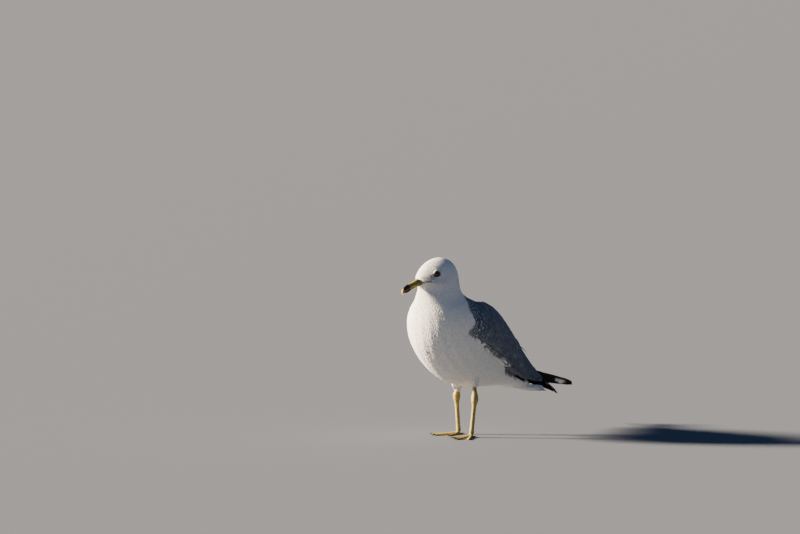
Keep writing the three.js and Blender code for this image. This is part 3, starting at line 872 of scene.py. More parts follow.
# ---- markings
@dataclass(frozen=True)
class Markings:
    """Where the plumage is grey: behind a line round the shoulders and above the wing's edge."""

    # Height and how far back the line is there
    front: tuple = (
        (150, -20), (166, -16), (171, -10), (178, -5.5), (186, -7), (194, -10.5), (203, -10), (212, -4),
    )
    nape: tuple = (37.0, 0.75)  # half width over which the line runs back to the nape, and its slope
    # How far back, and the edge's height there
    edge: tuple = (
        (-20, 162), (-11, 157.5), (12, 146.5), (33, 134.5), (61, 119.5), (80, 113), (94, 105), (99, 98),
        (102, 90), (137, 83), (161, 77), (185, 72), (240, 68),
    )
    soft: float = 1.6  # millimetres over which the colours meet
    # Forward and up, in the head's frame
    mouth_fold: tuple = ((26, -7.4), (20, -7.8), (15, -8.1), (10, -10.0), (5.4, -12.6), (0, -15.0))
    fold_width: float = 1.0
    # Dusky spots in the head's frame: forward, its reach, up, its reach, and how dark
    lore: tuple = (13.0, 8.0, -1.6, 2.6, 1.0)
    lore_slope: float = 0.28  # how fast it falls behind the bill's base
    cheek: tuple = (-7.0, 9.0, -11.0, 5.0, 0.2)
    eye_corner: tuple = (8.2, 2.1, -1.6, 2.1, 0.8)

    def spot(self, forward: Array, up: Array, where: tuple) -> Array:
        """How dark one spot is at places in the head's frame."""
        middle, reach, height, high, strength = where
        return strength * np.exp(-(((forward - middle) / reach) ** 2) - ((up - height) / high) ** 2)

    def tone(self, points: Array, wing: bool = False) -> Array:
        """How grey the plumage is at places on the bird.

        Args:
            points: places in the part's frame.
            wing: whether the feathers are the wing's own, which are grey down to its edge.

        Returns:
            0 for white to 1 for grey.
        """
        x, y, z = np.moveaxis(points - SOURCE_SHIFT, -1, 0)
        front, edge = np.array(self.front, float), np.array(self.edge, float)
        half, slope = self.nape
        line = np.interp(z, front[:, 0], front[:, 1])
        line = line + slope * np.maximum(half - np.abs(x), 0) * ease(190, 204, z)
        inside = y - line
        if not wing:
            inside = np.minimum(inside, z - np.interp(y, edge[:, 0], edge[:, 1]))
        return ease(-self.soft, self.soft, inside)

    def fleck(self, points: Array, chance: Array) -> Array:
        """Dusky flecks between bill and eye and on the cheek.

        Args:
            points: places in the part's frame.
            chance: a random number from 0 to 1 for each.

        Returns:
            0 for clean to 1 for dusky.
        """
        forward, side, up = np.moveaxis(HEAD.local(points), -1, 0)
        lore = self.spot(forward, up + self.lore_slope * (22 - forward), self.lore)
        face = (lore + self.spot(forward, up, self.cheek)) * ease(2.0, 8.0, np.abs(side))
        return np.clip(1.4 * face, 0, 1) * (0.25 + 0.7 * (chance > 0.4) * chance)

    def eye_front(self, points: Array) -> Array:
        """How dark the tiny feathers are before each eye's front corner."""
        forward, side, up = np.moveaxis(HEAD.local(points), -1, 0)
        return self.spot(forward, up, self.eye_corner) * (np.abs(side) > 8)

    def gape(self, points: Array) -> Array:
        """How near places are to the fold that runs back from the corner of the mouth.

        Args:
            points: places in the part's frame.

        Returns:
            1 in the fold, fading to 0 beside it and towards its end.
        """
        forward, side, up = np.moveaxis(HEAD.local(points), -1, 0)
        line = np.array(self.mouth_fold, float)
        off = up - np.interp(forward, line[::-1, 0], line[::-1, 1])
        fade = ease(3.0, 13.0, forward) * (forward < 26) * (np.abs(side) > 2)
        return np.exp(-((off / self.fold_width) ** 2)) * fade


MARKINGS = Markings()


# ---- the skin
@dataclass
class Skin:
    """One skin under the whole plumage, with the lie of the feathers on it."""

    flesh: tuple = (
        "head", "neck", "trunk", "thigh_left", "thigh_right",
        "wing_left", "wing_right", "tertials_left", "tertials_right",
    )
    eyes: tuple = ("eye_left", "eye_right")
    voxel: float = 1.45
    grow: float = 0.35  # how far the CAD's solids swell first, so that they meet
    finer_round_eyes: float = 9.5  # how far from an eye its mesh is finer
    reach: tuple = ((0, 0.5), (14, 0.8), (35, 1.3), (70, 2.0), (120, 3.0))  # way from the bill, depth
    bill_base: tuple = (20.0, 0.0, -6.2)  # in the head's frame
    lid_thick: float = 0.05  # how far the lids stand over the eyeball
    sunk: float = 0.8  # how far the skin lies under the ball inside the lids
    fold_depth: float = 0.7
    draw_in: float = 0.3  # share by which it narrows at the root of the bill
    socket: tuple = (3.5, 0.34)  # how far the face stands out by the lids, and how fast it rises from there
    throat: tuple = (13.0, -20.0, 10.0, 2.4)  # forward, up, reach and depth of the hollow under the chin
    # Each leg's top and ankle in the source's frame, and the height where the thigh ends
    legs: tuple = (
        ((21.0, 40.0, 100.0), (24.8, 37.4, 58.4), 77.0),
        ((-22.0, 64.6, 100.0), (-29.6, 65.4, 57.4), 66.0),
    )
    slim: float = 2.7  # radius to which a thigh narrows at its end
    # The flesh round the tail's root: source y, middle height, half width, rise and fall
    vent: tuple = (
        (132, 76, 10, 3.0, 3.0), (150, 71.5, 19, 4.0, 3.2), (169, 67.6, 24, 5.4, 4.4),
        (187, 65.6, 25.5, 4.6, 4.8), (201, 64.6, 25.5, 2.8, 4.6), (211, 63.9, 25, 1.4, 4.2),
        (217, 63.4, 22, 0.9, 3.4),
    )
    vent_sides: int = 28
    level: float = 0.8  # share by which the vent's upper side stays level where the tail falls

    def __post_init__(self) -> None:
        """Shape the skin and work out its lie."""
        self.sockets = [Eye(side) for side in Side]
        points, triangles = remeshed(self.flesh + self.eyes, self.voxel, self.grow, self.tail_root())
        centres = np.array([eye.axes()[0] for eye in self.sockets])
        points, triangles = refined(points, triangles, centres, self.finer_round_eyes, 2)
        base = HEAD.place(self.bill_base)
        start = np.argsort(norm(points - base, axis=1))[:12]
        way = Net(triangles, len(points)).distances(points, start)
        outside = np.isfinite(way)  # leaves out any closed hollow inside
        number = np.cumsum(outside) - 1
        self.triangles = number[triangles[outside[triangles[:, 0]]]]
        points, way, triangles = points[outside], way[outside], self.triangles
        self.net = Net(triangles, len(points))
        outer = self.net.smoothed(points, 5)
        self.way = self.net.smoothed(way, 40)
        self.way -= self.way.min()
        self.find_wing(outer)
        normals = self.net.smoothed(vertex_normals(outer, triangles), 4)
        self.depth = self.net.smoothed(self.coat_depth(outer), 6)
        self.points = self.net.smoothed(outer - unit(normals) * self.depth[:, None], 2)
        self.points -= unit(normals) * (self.fold_depth * MARKINGS.gape(self.points))[:, None]
        self.draw_in_base()
        self.draw_in_legs()
        self.shape_lids()
        self.normals = unit(self.net.smoothed(vertex_normals(self.points, triangles), 3))
        self.flow = self.find_flow()
        vectors = [Vector(p) for p in self.points]
        self.tree = BVHTree.FromPolygons(vectors, triangles.tolist())

    def tail_root(self) -> tuple[Array, Array]:
        """Loft the solid that carries the coverts over and under the tail's root.

        Returns:
            Its vertices and triangles.
        """
        angle = np.linspace(0, 2 * math.pi, self.vent_sides, endpoint=False)
        above = np.sin(angle) > 0
        rings = []
        for y, middle, half, rise, fall in self.vent:
            x = half * np.cos(angle)
            tilted = np.where(above, x - self.level * np.maximum(x, 0), x)
            z = middle - TAIL_ROLL * tilted + np.where(above, rise, fall) * np.sin(angle)
            rings.append(np.stack([x, np.full(self.vent_sides, float(y)), z], 1))
        return lofted(placed(np.array(rings)))

    def find_wing(self, outer: Array) -> None:
        """Find each vertex's station and angle on its wing, and how surely it lies on one.

        Args:
            outer: the surface of the plumage.
        """
        stations, angles = np.linspace(0, WING.last, 97), np.arange(-180, 180, 6.0)
        stations, angles = np.meshgrid(stations, angles, indexing="ij")
        tree = lookup(WING.point(stations, angles).reshape(-1, 3))
        found = [tree.find((abs(p[0]), p[1], p[2])) for p in outer.tolist()]
        index = np.array([f[1] for f in found])
        gap = np.array([f[2] for f in found])
        self.station, self.angle = stations.ravel()[index], angles.ravel()[index]
        self.on_wing = ease(3.2, 1.8, gap)

    def coat_depth(self, outer: Array) -> Array:
        """Work out how deep the plumage is.

        Args:
            outer: the surface of the plumage.

        Returns:
            The depth in millimetres at each vertex.
        """
        table = np.array(self.reach, float)
        depth = np.interp(self.way, table[:, 0], table[:, 1])
        swell = WING.swell(self.station)
        depth = depth * (1 - self.on_wing) + np.minimum(3.2, 0.45 * swell) * self.on_wing
        low, behind = outer[:, 2], (outer - SOURCE_SHIFT)[:, 1]
        return depth * (0.45 + 0.55 * ease(66, 84, low)) * (1 - 0.7 * ease(150, 180, behind))

    def draw_in_base(self) -> None:
        """Draw the skin in at the root of the bill, so that it ends inside the horn."""
        local = HEAD.local(self.points)
        base = np.array(self.bill_base)
        beside = np.hypot(local[:, 1], local[:, 2] - base[2])
        share = ease(19.5, 23.0, local[:, 0]) * ease(11.0, 8.0, beside)
        local[:, 1:] = base[1:] + (local[:, 1:] - base[1:]) * (1 - self.draw_in * share[:, None])
        forward, up, reach, deep = self.throat
        gap = ((local[:, 0] - forward) ** 2 + (local[:, 2] - up) ** 2) / reach**2
        local[:, 0] -= deep * np.exp(-gap)
        self.points = HEAD.place(local)

    def draw_in_legs(self) -> None:
        """Narrow each thigh to the leg that comes out of it, and note what lies near a leg."""
        self.by_leg = np.zeros(len(self.points))
        for top, ankle, end in self.legs:
            low, rise = placed(ankle), placed(top) - placed(ankle)
            axis = low + rise * ((self.points[:, 2:] - low[2]) / rise[2])
            off = self.points[:, :2] - axis[:, :2]
            reach = np.maximum(np.hypot(*off.T), 1e-6)
            height = self.points[:, 2] - end
            drawn = ease(9.0, 0.5, height) * ease(13.0, 9.0, reach)
            slim = reach + (np.minimum(reach, self.slim) - reach) * drawn
            self.points[:, :2] = axis[:, :2] + off * (slim / reach)[:, None]
            self.points[:, 2] -= 3.0 * ease(5.0, 0.0, height) * ease(13.0, 9.0, reach)
            close = ease(15.0, 9.0, reach) * ease(14.0, 4.0, height)
            self.by_leg = np.maximum(self.by_leg, close)

    def shape_lids(self) -> None:
        """Wrap the skin round each eyeball as lids, with an almond opening."""
        for eye in self.sockets:
            centre, gaze, _, _ = eye.axes()
            off = self.points - centre
            opening = eye.opening(self.points)
            depth = off @ gaze
            aside = norm(off - depth[:, None] * gaze, axis=1)
            limit = self.socket[0] + self.socket[1] * (aside - eye.open_long)
            over = np.maximum(depth - limit, 0) * ease(16.0, 11.0, aside)
            over *= (depth > 0) & (opening > 1)
            self.points = self.points - gaze * over[:, None]
            off = self.points - centre
            depth, reach = off @ gaze, norm(off, axis=1)
            near = ease(8.5, 5.9, aside) * (depth > 0) * (reach < 12)
            lid = np.maximum(reach, eye.radius + self.lid_thick)
            wanted = np.where(opening > 1.0, lid, eye.radius - self.sunk)
            new = reach + (wanted - reach) * near
            self.points = centre + off * (new / np.maximum(reach, 1e-6))[:, None]
            ridge = ease(1.2, 1.6, opening) * ease(15.0, 12.0, reach)
            even = self.net.smoothed(self.points, 8)
            self.points += (even - self.points) * ridge[:, None]

    def find_flow(self) -> Array:
        """Find how the feathers lie, from the bill back over the body.

        Returns:
            A unit direction along the skin at each vertex.
        """
        p, t = self.points, self.triangles
        crosses = triangle_normals(p, t)
        double_area = np.maximum(norm(crosses, axis=1, keepdims=True), 1e-9)
        face_normal = crosses / double_area
        a, b, c = (p[t[:, i]] for i in range(3))
        wa, wb, wc = (self.way[t[:, i], None] for i in range(3))
        slope = wa * np.cross(face_normal, c - b) + wb * np.cross(face_normal, a - c)
        slope = (slope + wc * np.cross(face_normal, b - a)) / double_area
        total = sum(gathered(t[:, corner], slope, len(p)) for corner in range(3))
        flow = self.net.smoothed(unit(total), 12)
        _, _, tangent = WING.frame(self.station, self.angle)
        tangent[:, 0] *= np.sign(p[:, 0])
        flow = unit(flow) * (1 - self.on_wing[:, None]) + tangent * self.on_wing[:, None]
        flow = self.net.smoothed(flow, 4)
        flow -= self.normals * (flow * self.normals).sum(1, keepdims=True)
        return unit(flow)

    def chart(self, points: Array, way: Array) -> Array:
        """Places on the skin's unwrap: the angle round the body, and the way from the bill.

        Args:
            points: places on the skin.
            way: their way from the bill.

        Returns:
            A map place for each.
        """
        axis = np.interp(way, (0, 60, 140, 460), (240, 235, 150, 75))
        angle = np.arctan2(points[:, 0], points[:, 2] - axis) / (2 * math.pi)
        return np.stack([0.5 + 0.97 * angle, 0.02 + 0.95 * way / self.way.max()], 1)

    def landed(self, points: Array) -> tuple[Array, Array, Array]:
        """Nearest places on the skin.

        Args:
            points: places near it.

        Returns:
            The places on it, their normals, and the number of the nearest vertex.
        """
        found = [self.tree.find_nearest(p) for p in points.tolist()]
        spots = np.array([f[0] for f in found])
        corners = self.triangles[[f[2] for f in found]]
        gaps = norm(self.points[corners] - spots[:, None], axis=2)
        weights = 1 / (gaps + 0.05)
        normals = unit((self.normals[corners] * weights[..., None]).sum(1))
        return spots, normals, corners[np.arange(len(corners)), gaps.argmin(1)]

    def build(self, material: Material) -> None:
        """Make the skin's piece.

        Args:
            material: the skin's finish.
        """
        chart, tone = self.chart(self.points, self.way), MARKINGS.tone(self.points)
        data = MeshData(self.points, self.triangles, chart, {"tone": tone})
        make_piece("skin", data, material, self.flesh)


# ---- feathers
@dataclass(frozen=True)
class VaneCut:
    """The grid and the outline that one kind of feather is made with."""

    steps: tuple = (0.0, 0.3, 0.58, 0.8, 0.94, 1.0)  # rings along it
    columns: int = 5  # points across the upper face
    under: tuple = (0.0,)  # points across the lower face, from one edge to the other
    root: float = 0.35  # width at the root, as a share
    opening: float = 0.4  # share of the length over which it widens
    tip: float = 0.3  # width of the very end, as a share
    bluntness: float = 3.2
    camber: float = 0.07  # height of the middle, as a share of the half width
    thick: float = 0.16
    skirt: float = 0.0  # how far the edges reach down into the feathers below
    flare: float = 0.7  # how far they slope out on the way down, as a share of the skirt
    rounding: float = 0.12  # how far the end's corners are drawn back, as a share of the width
    bow: float = 0.35  # how far the shading turns aside at the edges
    fray: float = 0.008  # how unevenly the end breaks up, as a share of the length

    def outline(self, t: Array) -> Array:
        """The width as a share, along the feather.

        Args:
            t: share of the way from root to tip.

        Returns:
            The share of the full width there.
        """
        opened = self.root + (1 - self.root) * ease(0, self.opening, t)
        closed = self.tip + (1 - self.tip) * np.sqrt(1 - np.clip(t, 0, 1) ** self.bluntness)
        return opened * closed


@dataclass
class Bunch:
    """Feathers laid out along their spines, before they are cut.

    spine, across and up are (feather, ring, XYZ), and chart has a row for each feather. What
    follows is one number for all, or one for each, and tone may have one for each ring. tip is
    how many millimetres of the end are white. Lengths left out are the spines' own.
    """

    spine: Array
    across: Array
    up: Array
    width: Array | float
    chart: Array
    tone: Array | float = 0.0
    dark: Array | float = 0.0
    stain: Array | float = 0.0
    tip: Array | float = 0.0
    length: Array | None = None

    def __post_init__(self) -> None:
        """Give every feather its own numbers."""
        if self.length is None:
            self.length = norm(np.diff(self.spine, axis=1), axis=2).sum(1)
        for key in ("width", "tone", "dark", "stain", "tip"):
            value = np.asarray(getattr(self, key), float)
            setattr(self, key, value if value.ndim else np.full(len(self.spine), value))

    def cut(self, cut: VaneCut, rng: Generator, patch: float = 0.003) -> MeshData:
        """Make the feathers' closed, thin vanes.

        Args:
            cut: the kind of feather.
            rng: source of the uneven ends.
            patch: size of a feather's patch on the unwrap.

        Returns:
            One mesh with all of them.
        """
        count = len(self.spine)
        t = np.array(cut.steps)
        c_top, c_low = np.linspace(-1, 1, cut.columns), np.array(cut.under, float)
        half = self.width[:, None] / 2 * cut.outline(t)
        ahead = unit(np.gradient(self.spine, axis=1))
        end = ease(0.7, 1.0, t)
        ragged = rng.uniform(-1, 1, (count, 1, cut.columns)) * cut.fray
        rng.random(ragged.shape)  # passes over numbers, so that the later draws stay what they are
        shift = ragged * end[None, :, None] * self.length[:, None, None]
        shift -= end[None, :, None] * c_top**2 * (self.width * cut.rounding)[:, None, None]
        rise = half[..., None] * cut.camber * (1 - c_top**2)
        top = self.spine[:, :, None] + self.across[:, :, None] * (half[..., None] * c_top)[..., None]
        top = top + self.up[:, :, None] * rise[..., None] + ahead[:, :, None] * shift[..., None]
        skirt = cut.skirt * ease(0.0, 0.35, t)[None, :, None]
        drop = half[..., None] * cut.camber * (1 - c_low**2) - np.maximum(cut.thick, skirt)
        spread = half[..., None] * c_low + cut.flare * skirt * np.sign(c_low)
        low = self.spine[:, :, None] + self.across[:, :, None] * spread[..., None]
        if cut.skirt > 0:
            back = -cut.flare * cut.skirt * end[None, :] * np.ones((count, 1))
        else:
            back = cut.fray * end[None, :] * self.length[:, None]
        low = low + self.up[:, :, None] * drop[..., None] - (ahead * back[..., None])[:, :, None]
        points = np.concatenate([top, low], axis=2)
        c = np.concatenate([c_top, c_low])
        outward = unit(self.up[:, :, None] + self.across[:, :, None] * (c * cut.bow)[:, None])
        triangles, upper = self.closed(points, len(c_low))
        normals = self.shading(points, triangles[: len(upper)], outward, upper)
        values, chart = self.dressing(t[None, :, None], c[None, None, :], rng, patch)
        normals = normals.reshape(-1, 3, 3)
        return MeshData(points.reshape(-1, 3), triangles, chart, values, normals)

    def closed(self, points: Array, under: int) -> tuple[Array, Array]:
        """Close the vanes with triangles.

        Args:
            points: the vertices as (feather, ring, place round it, XYZ).
            under: how many of a ring's places are on the lower face.

        Returns:
            The triangles, feather by feather, and which of one feather's are on its upper face.
        """
        count, rings, sides = points.shape[:3]
        a, b, c, d = wall_corners(rings - 1, rings, sides)
        hub = sides - 1 - under // 2
        spokes = np.arange(sides)
        fan = spokes[(spokes != hub) & ((spokes + 1) % sides != hub)]
        root = np.stack([0 * fan + hub, fan, (fan + 1) % sides], 1)
        walls = [np.stack([a, d, b], 1), np.stack([a, c, d], 1)]
        faces = np.concatenate([*walls, root, root[:, ::-1] + (rings - 1) * sides])
        faces = facing_out(points[0].reshape(-1, 3), faces)
        triangles = faces[None] + (np.arange(count) * rings * sides)[:, None, None]
        upper = np.concatenate([np.tile(a % sides < sides - under - 1, 2), np.zeros(2 * len(root), bool)])
        return triangles.reshape(-1, 3), upper

    def shading(self, points: Array, faces: Array, outward: Array, upper: Array) -> Array:
        """Find the normals that shade the vanes.

        Args:
            points: the vertices as (feather, ring, place round it, XYZ).
            faces: the triangles of the first feather.
            outward: the upper face's soft normal at each vertex.
            upper: which triangles are on the upper face.

        Returns:
            A unit vector for each corner, as (feather, triangle, corner, XYZ).
        """
        count = len(points)
        corners = points.reshape(count, -1, 3)[:, faces]
        facing = unit(np.cross(corners[:, :, 1] - corners[:, :, 0], corners[:, :, 2] - corners[:, :, 0]))
        facing = facing[:, :, None]
        above = np.broadcast_to(self.up[:, :, None], points.shape).reshape(count, -1, 3)[:, faces]
        shown = upper[:, None] | ((facing * above).sum(-1).mean(-1, keepdims=True) > -0.45)
        edge = facing * np.where(upper, 0.0, 0.4)[:, None, None]
        soft = unit(outward.reshape(count, -1, 3)[:, faces] + edge)
        return np.where(shown[..., None], soft, -above)

    def dressing(self, t: Array, c: Array, rng: Generator, patch: float) -> tuple[dict, Array]:
        """Give the vertices their map and markings.

        Args:
            t: places along a feather.
            c: places across it.
            rng: source of each feather's own number.
            patch: size of a feather's patch on the unwrap.

        Returns:
            The named values for shaders, and the map.
        """
        count = len(self.spine)
        shape = (count, t.size, c.size)
        length, width = self.length[:, None, None], self.width[:, None, None]
        seed = np.broadcast_to(rng.random(count)[:, None, None], shape)
        t, c = np.broadcast_to(t, shape), np.broadcast_to(c, shape)
        white = ease(1.1, 0.7, (1 - t) * length / np.maximum(self.tip, 1e-6)[:, None, None])
        chart = self.chart[:, None, None] + np.stack([c, 2 * t - 1], -1) * patch / 2
        values = {
            "tone": (self.tone.reshape(count, -1, 1) * (1 - white)).ravel(),
            "dark": (self.dark[:, None, None] * (1 - white)).ravel(),
            "stain": np.broadcast_to(self.stain[:, None, None], shape).ravel(),
            "vane": np.stack([t * length, c * width / 2, seed], -1).reshape(-1, 3),
        }
        return values, chart.reshape(-1, 2)


def scattered(points: Array, triangles: Array, spacing: Array, rng: Generator) -> tuple[Array, Array]:
    """Scatter places over triangles, none nearer than the spacing there.

    Args:
        points: the mesh's vertices.
        triangles: the triangles to cover.
        spacing: wanted distance at each vertex.
        rng: source of the places.

    Returns:
        The places, and the triangle of each.
    """
    areas = norm(triangle_normals(points, triangles), axis=1) / 2
    wanted = spacing[triangles].mean(axis=1)
    expected = areas / wanted**2
    tries = int(expected.sum() * 7)
    chosen = rng.choice(len(triangles), tries, p=expected / expected.sum())
    u, v = rng.random(tries), rng.random(tries)
    over = u + v > 1
    u[over], v[over] = 1 - u[over], 1 - v[over]
    corners = points[triangles[chosen]]
    spots = corners[:, 0] + u[:, None] * (corners[:, 1] - corners[:, 0])
    spots += v[:, None] * (corners[:, 2] - corners[:, 0])
    near = wanted[chosen]
    cell = float(near.max())
    keys = np.floor(spots / cell).astype(int)
    taken: dict[tuple, list[tuple]] = {}
    kept: list[int] = []
    around = list(itertools.product((-1, 0, 1), repeat=3))
    rows = zip(spots.tolist(), keys.tolist(), (near**2).tolist())
    for n, ((x, y, z), (a, b, c), gap) in enumerate(rows):
        close = (q for i, j, k in around for q in taken.get((a + i, b + j, c + k), ()))
        if all((q[0] - x) ** 2 + (q[1] - y) ** 2 + (q[2] - z) ** 2 >= gap for q in close):
            taken.setdefault((a, b, c), []).append((x, y, z))
            kept.append(n)
    return spots[kept], chosen[kept]


@dataclass(frozen=True)
class Region:
    """One piece of the plumage that covers the skin: how it is bounded and cut."""

    name: str
    nearest: float  # way from the bill, in millimetres
    furthest: float
    cut: VaneCut
    above: float = -math.inf  # only where the skin's normal points up more than this
    below: float = math.inf


@dataclass
class Coat:
    """The small feathers of head, neck, body and thighs, laid along the skin."""

    skin: Skin
    seed: int = 11
    # Way from the bill, then spacing, length and width of the feathers there
    sizes: tuple = (
        (0, 0.62, 2.6, 0.85), (14, 0.78, 4.0, 1.1), (35, 1.05, 6.5, 1.7), (65, 1.6, 10.0, 3.0),
        (110, 2.4, 14.5, 5.6), (180, 3.0, 18.5, 8.0), (500, 3.3, 20.0, 9.0),
    )
    uneven: tuple = (0.1, 0.07, 0.09)  # how lengths, widths and turns differ, as shares and in radians
    stray: float = 0.7  # millimetres by which the markings stray from feather to feather
    fine: VaneCut = VaneCut(
        steps=(0.0, 0.4, 0.75, 1.0), columns=3, under=(1, -1), tip=0.25, bluntness=2.2, camber=0.05,
        skirt=0.24, bow=0.4,
    )
    small: VaneCut = VaneCut(
        steps=(0.0, 0.35, 0.65, 0.86, 1.0), columns=5, under=(1, -1), tip=0.4, bluntness=2.6, camber=0.045,
        skirt=0.45, bow=0.22,
    )
    large: VaneCut = VaneCut(columns=9, under=(1, -1), tip=0.5, camber=0.035, skirt=0.8, bow=0.15)
    regions: tuple = (
        Region("coat_face", 0, 38, fine),
        Region("coat_head", 38, 65, small),
        Region("coat_nape", 65, 120, small, above=0.0),
        Region("coat_throat", 65, 120, small, below=0.0),
        Region("coat_breast", 120, 190, large, below=0.0),
        Region("coat_shoulders", 120, 190, large, above=0.0),
        Region("coat_belly", 190, 290, large, below=0.0),
        Region("coat_vent", 290, 600, large, below=0.0),
        Region("coat_back", 190, 600, large, above=0.0),
    )

    def __post_init__(self) -> None:
        """Start the source of chance."""
        self.rng = np.random.default_rng(self.seed)

    def bare(self) -> Array:
        """Find the skin with no small feathers: under wing coverts, bill and eyes.

        Returns:
            Which vertices are bare.
        """
        skin = self.skin
        on_cover = (skin.on_wing > 0.5) & (np.abs(skin.angle) < 86) & (skin.station > 0.25)
        forward, side, up = HEAD.local(skin.points).T
        in_bill = (forward > 19.5) & (np.hypot(side, up + 6.6) < 4.8)
        opened = np.zeros(len(skin.points), bool)
        for eye in skin.sockets:
            centre = eye.axes()[0]
            close = norm(skin.points - centre, axis=1) < 8.0
            opened |= close & (eye.opening(skin.points) < 1.14)
        return on_cover | in_bill | opened

    def by_eye(self, points: Array) -> Array:
        """1 close to an eye, falling to 0 further out."""
        gaps = [norm(points - eye.axes()[0], axis=-1) for eye in self.skin.sockets]
        return ease(11.0, 8.0, np.minimum(*gaps))

    def over_eye(self, spine: Array) -> Array:
        """Find the feathers that lie over an eye's opening.

        Args:
            spine: the feathers' spines.

        Returns:
            Which of them do.
        """
        hit = np.zeros(len(spine), bool)
        for eye in self.skin.sockets:
            close = norm(spine - eye.axes()[0], axis=-1) < 8.5
            hit |= (close & (eye.opening(spine) < 1.12)).any(axis=1)
        return hit

    def lay(self, region: Region) -> Bunch:
        """Lay the feathers of one region.

        Args:
            region: the region.

        Returns:
            The feathers along their spines.
        """
        skin, rng = self.skin, self.rng
        corners = skin.triangles
        way = skin.way[corners].mean(1)
        upward = skin.normals[corners, 2].mean(1)
        here = (way >= region.nearest) & (way < region.furthest) & ~self.bare()[corners].any(1)
        here &= (upward > region.above) & (upward <= region.below)
        table = np.array(self.sizes, float)
        spacing = np.interp(skin.way, table[:, 0], table[:, 1]) * (1 - 0.3 * self.by_eye(skin.points))
        spacing *= 1 - 0.6 * skin.by_leg
        spots, chosen = scattered(skin.points, corners[here], spacing, rng)
        nearest = corners[here][chosen][:, 0]
        count = len(spots)
        root_way = skin.way[nearest]
        jitter = rng.normal(0, 1, (4, count))
        length = np.interp(root_way, table[:, 0], table[:, 2]) * (1 + self.uneven[0] * jitter[0])
        width = np.interp(root_way, table[:, 0], table[:, 3]) * (1 + self.uneven[1] * jitter[1])
        thin = 0.5 + 0.5 * ease(62, 88, spots[:, 2] + 40 * ease(-15, 10, spots[:, 1]))
        thin *= 1 - 0.35 * self.by_eye(spots)
        length *= thin * (1 - 0.4 * skin.by_leg[nearest])
        width *= thin * (1 - 0.6 * skin.by_leg[nearest])
        turn = jitter[2] * self.uneven[2]
        spine, across, up = self.march(spots, length, turn, region.cut, jitter[3])
        for _ in range(4):  # a feather that lies over an eye is cut back until it does not
            length = np.where(self.over_eye(spine), length * 0.6, length)
            spine, across, up = self.march(spots, length, turn, region.cut, jitter[3])
        middle = spine[:, len(region.cut.steps) // 2]
        tone = MARKINGS.tone(spine + rng.normal(0, self.stray, (count, 1, 3)))
        stain = MARKINGS.fleck(middle, rng.random(count))
        stain += 0.05 * rng.random(count) * ease(90, 160, root_way)
        # Feathers along the mouth's fold are painted almost black: painted shade in that crease, with the
        # gape's dark skin.
        dark = np.maximum(0.95 * MARKINGS.gape(spine[:, -2]), MARKINGS.eye_front(middle))
        chart = skin.chart(spots, root_way)
        return Bunch(spine, across, up, width, chart, tone, dark, stain, length=length)

    def march(self, spots: Array, length: Array, yaw: Array, cut: VaneCut, chance: Array) -> tuple:
        """Walk each feather's spine over the skin, rising towards its end.

        Args:
            spots: the roots.
            length: the feathers' lengths.
            yaw: how far each turns from the lie, in radians.
            cut: the kind of feather.
            chance: normal random numbers for how high the ends stand.

        Returns:
            The spines, and the directions across and up along them.
        """
        skin = self.skin
        place, normal, nearest = skin.landed(spots)
        flow = skin.flow[nearest]
        aside = np.cross(normal, flow)
        heading = unit(flow * np.cos(yaw)[:, None] + aside * np.sin(yaw)[:, None])
        spine, across, up = [], [], []
        before = 0.0
        for t in cut.steps:
            if t > before:
                step = place + heading * (length * (t - before))[:, None]
                place, normal, nearest = skin.landed(step)
                heading = heading * 0.7 + skin.flow[nearest] * 0.3
                heading = unit(heading - normal * (heading * normal).sum(1, keepdims=True))
                before = t
            deep = skin.depth[nearest]
            lift = deep * (-0.12 + 1.1 * (1 - (1 - t) ** 1.9) - 0.09 * ease(0.8, 1.0, t))
            lift = lift + deep * 0.015 * chance * t
            spine.append(place + normal * lift[:, None])
            across.append(unit(np.cross(normal, heading)))
            up.append(normal)
        return tuple(np.stack(rows, axis=1) for rows in (spine, across, up))

    def build(self, material: Material) -> None:
        """Make every region's piece."""
        for region in self.regions:
            data = self.lay(region).cut(region.cut, self.rng)
            make_piece(region.name, data, material)


# ---- wings
@dataclass(frozen=True)
class Row:
    """One group of wing feathers, laid in staggered rows over the folded wing.

    Stations and angles are the wing's own. Heights are from its surface, and negative under it.
    """

    name: str
    stations: tuple[float, float]
    low: tuple[tuple[float, float], ...]  # station, lowest angle there
    high: tuple[tuple[float, float], ...]  # station, highest angle there
    row_gap: float  # millimetres between rows
    gap: float  # millimetres between feathers of a row
    length: tuple[float, float]  # at the first and the last row
    width: tuple[float, float]
    root_height: float
    tip_height: float
    late: float = 0.8  # power with which a feather rises from root to tip


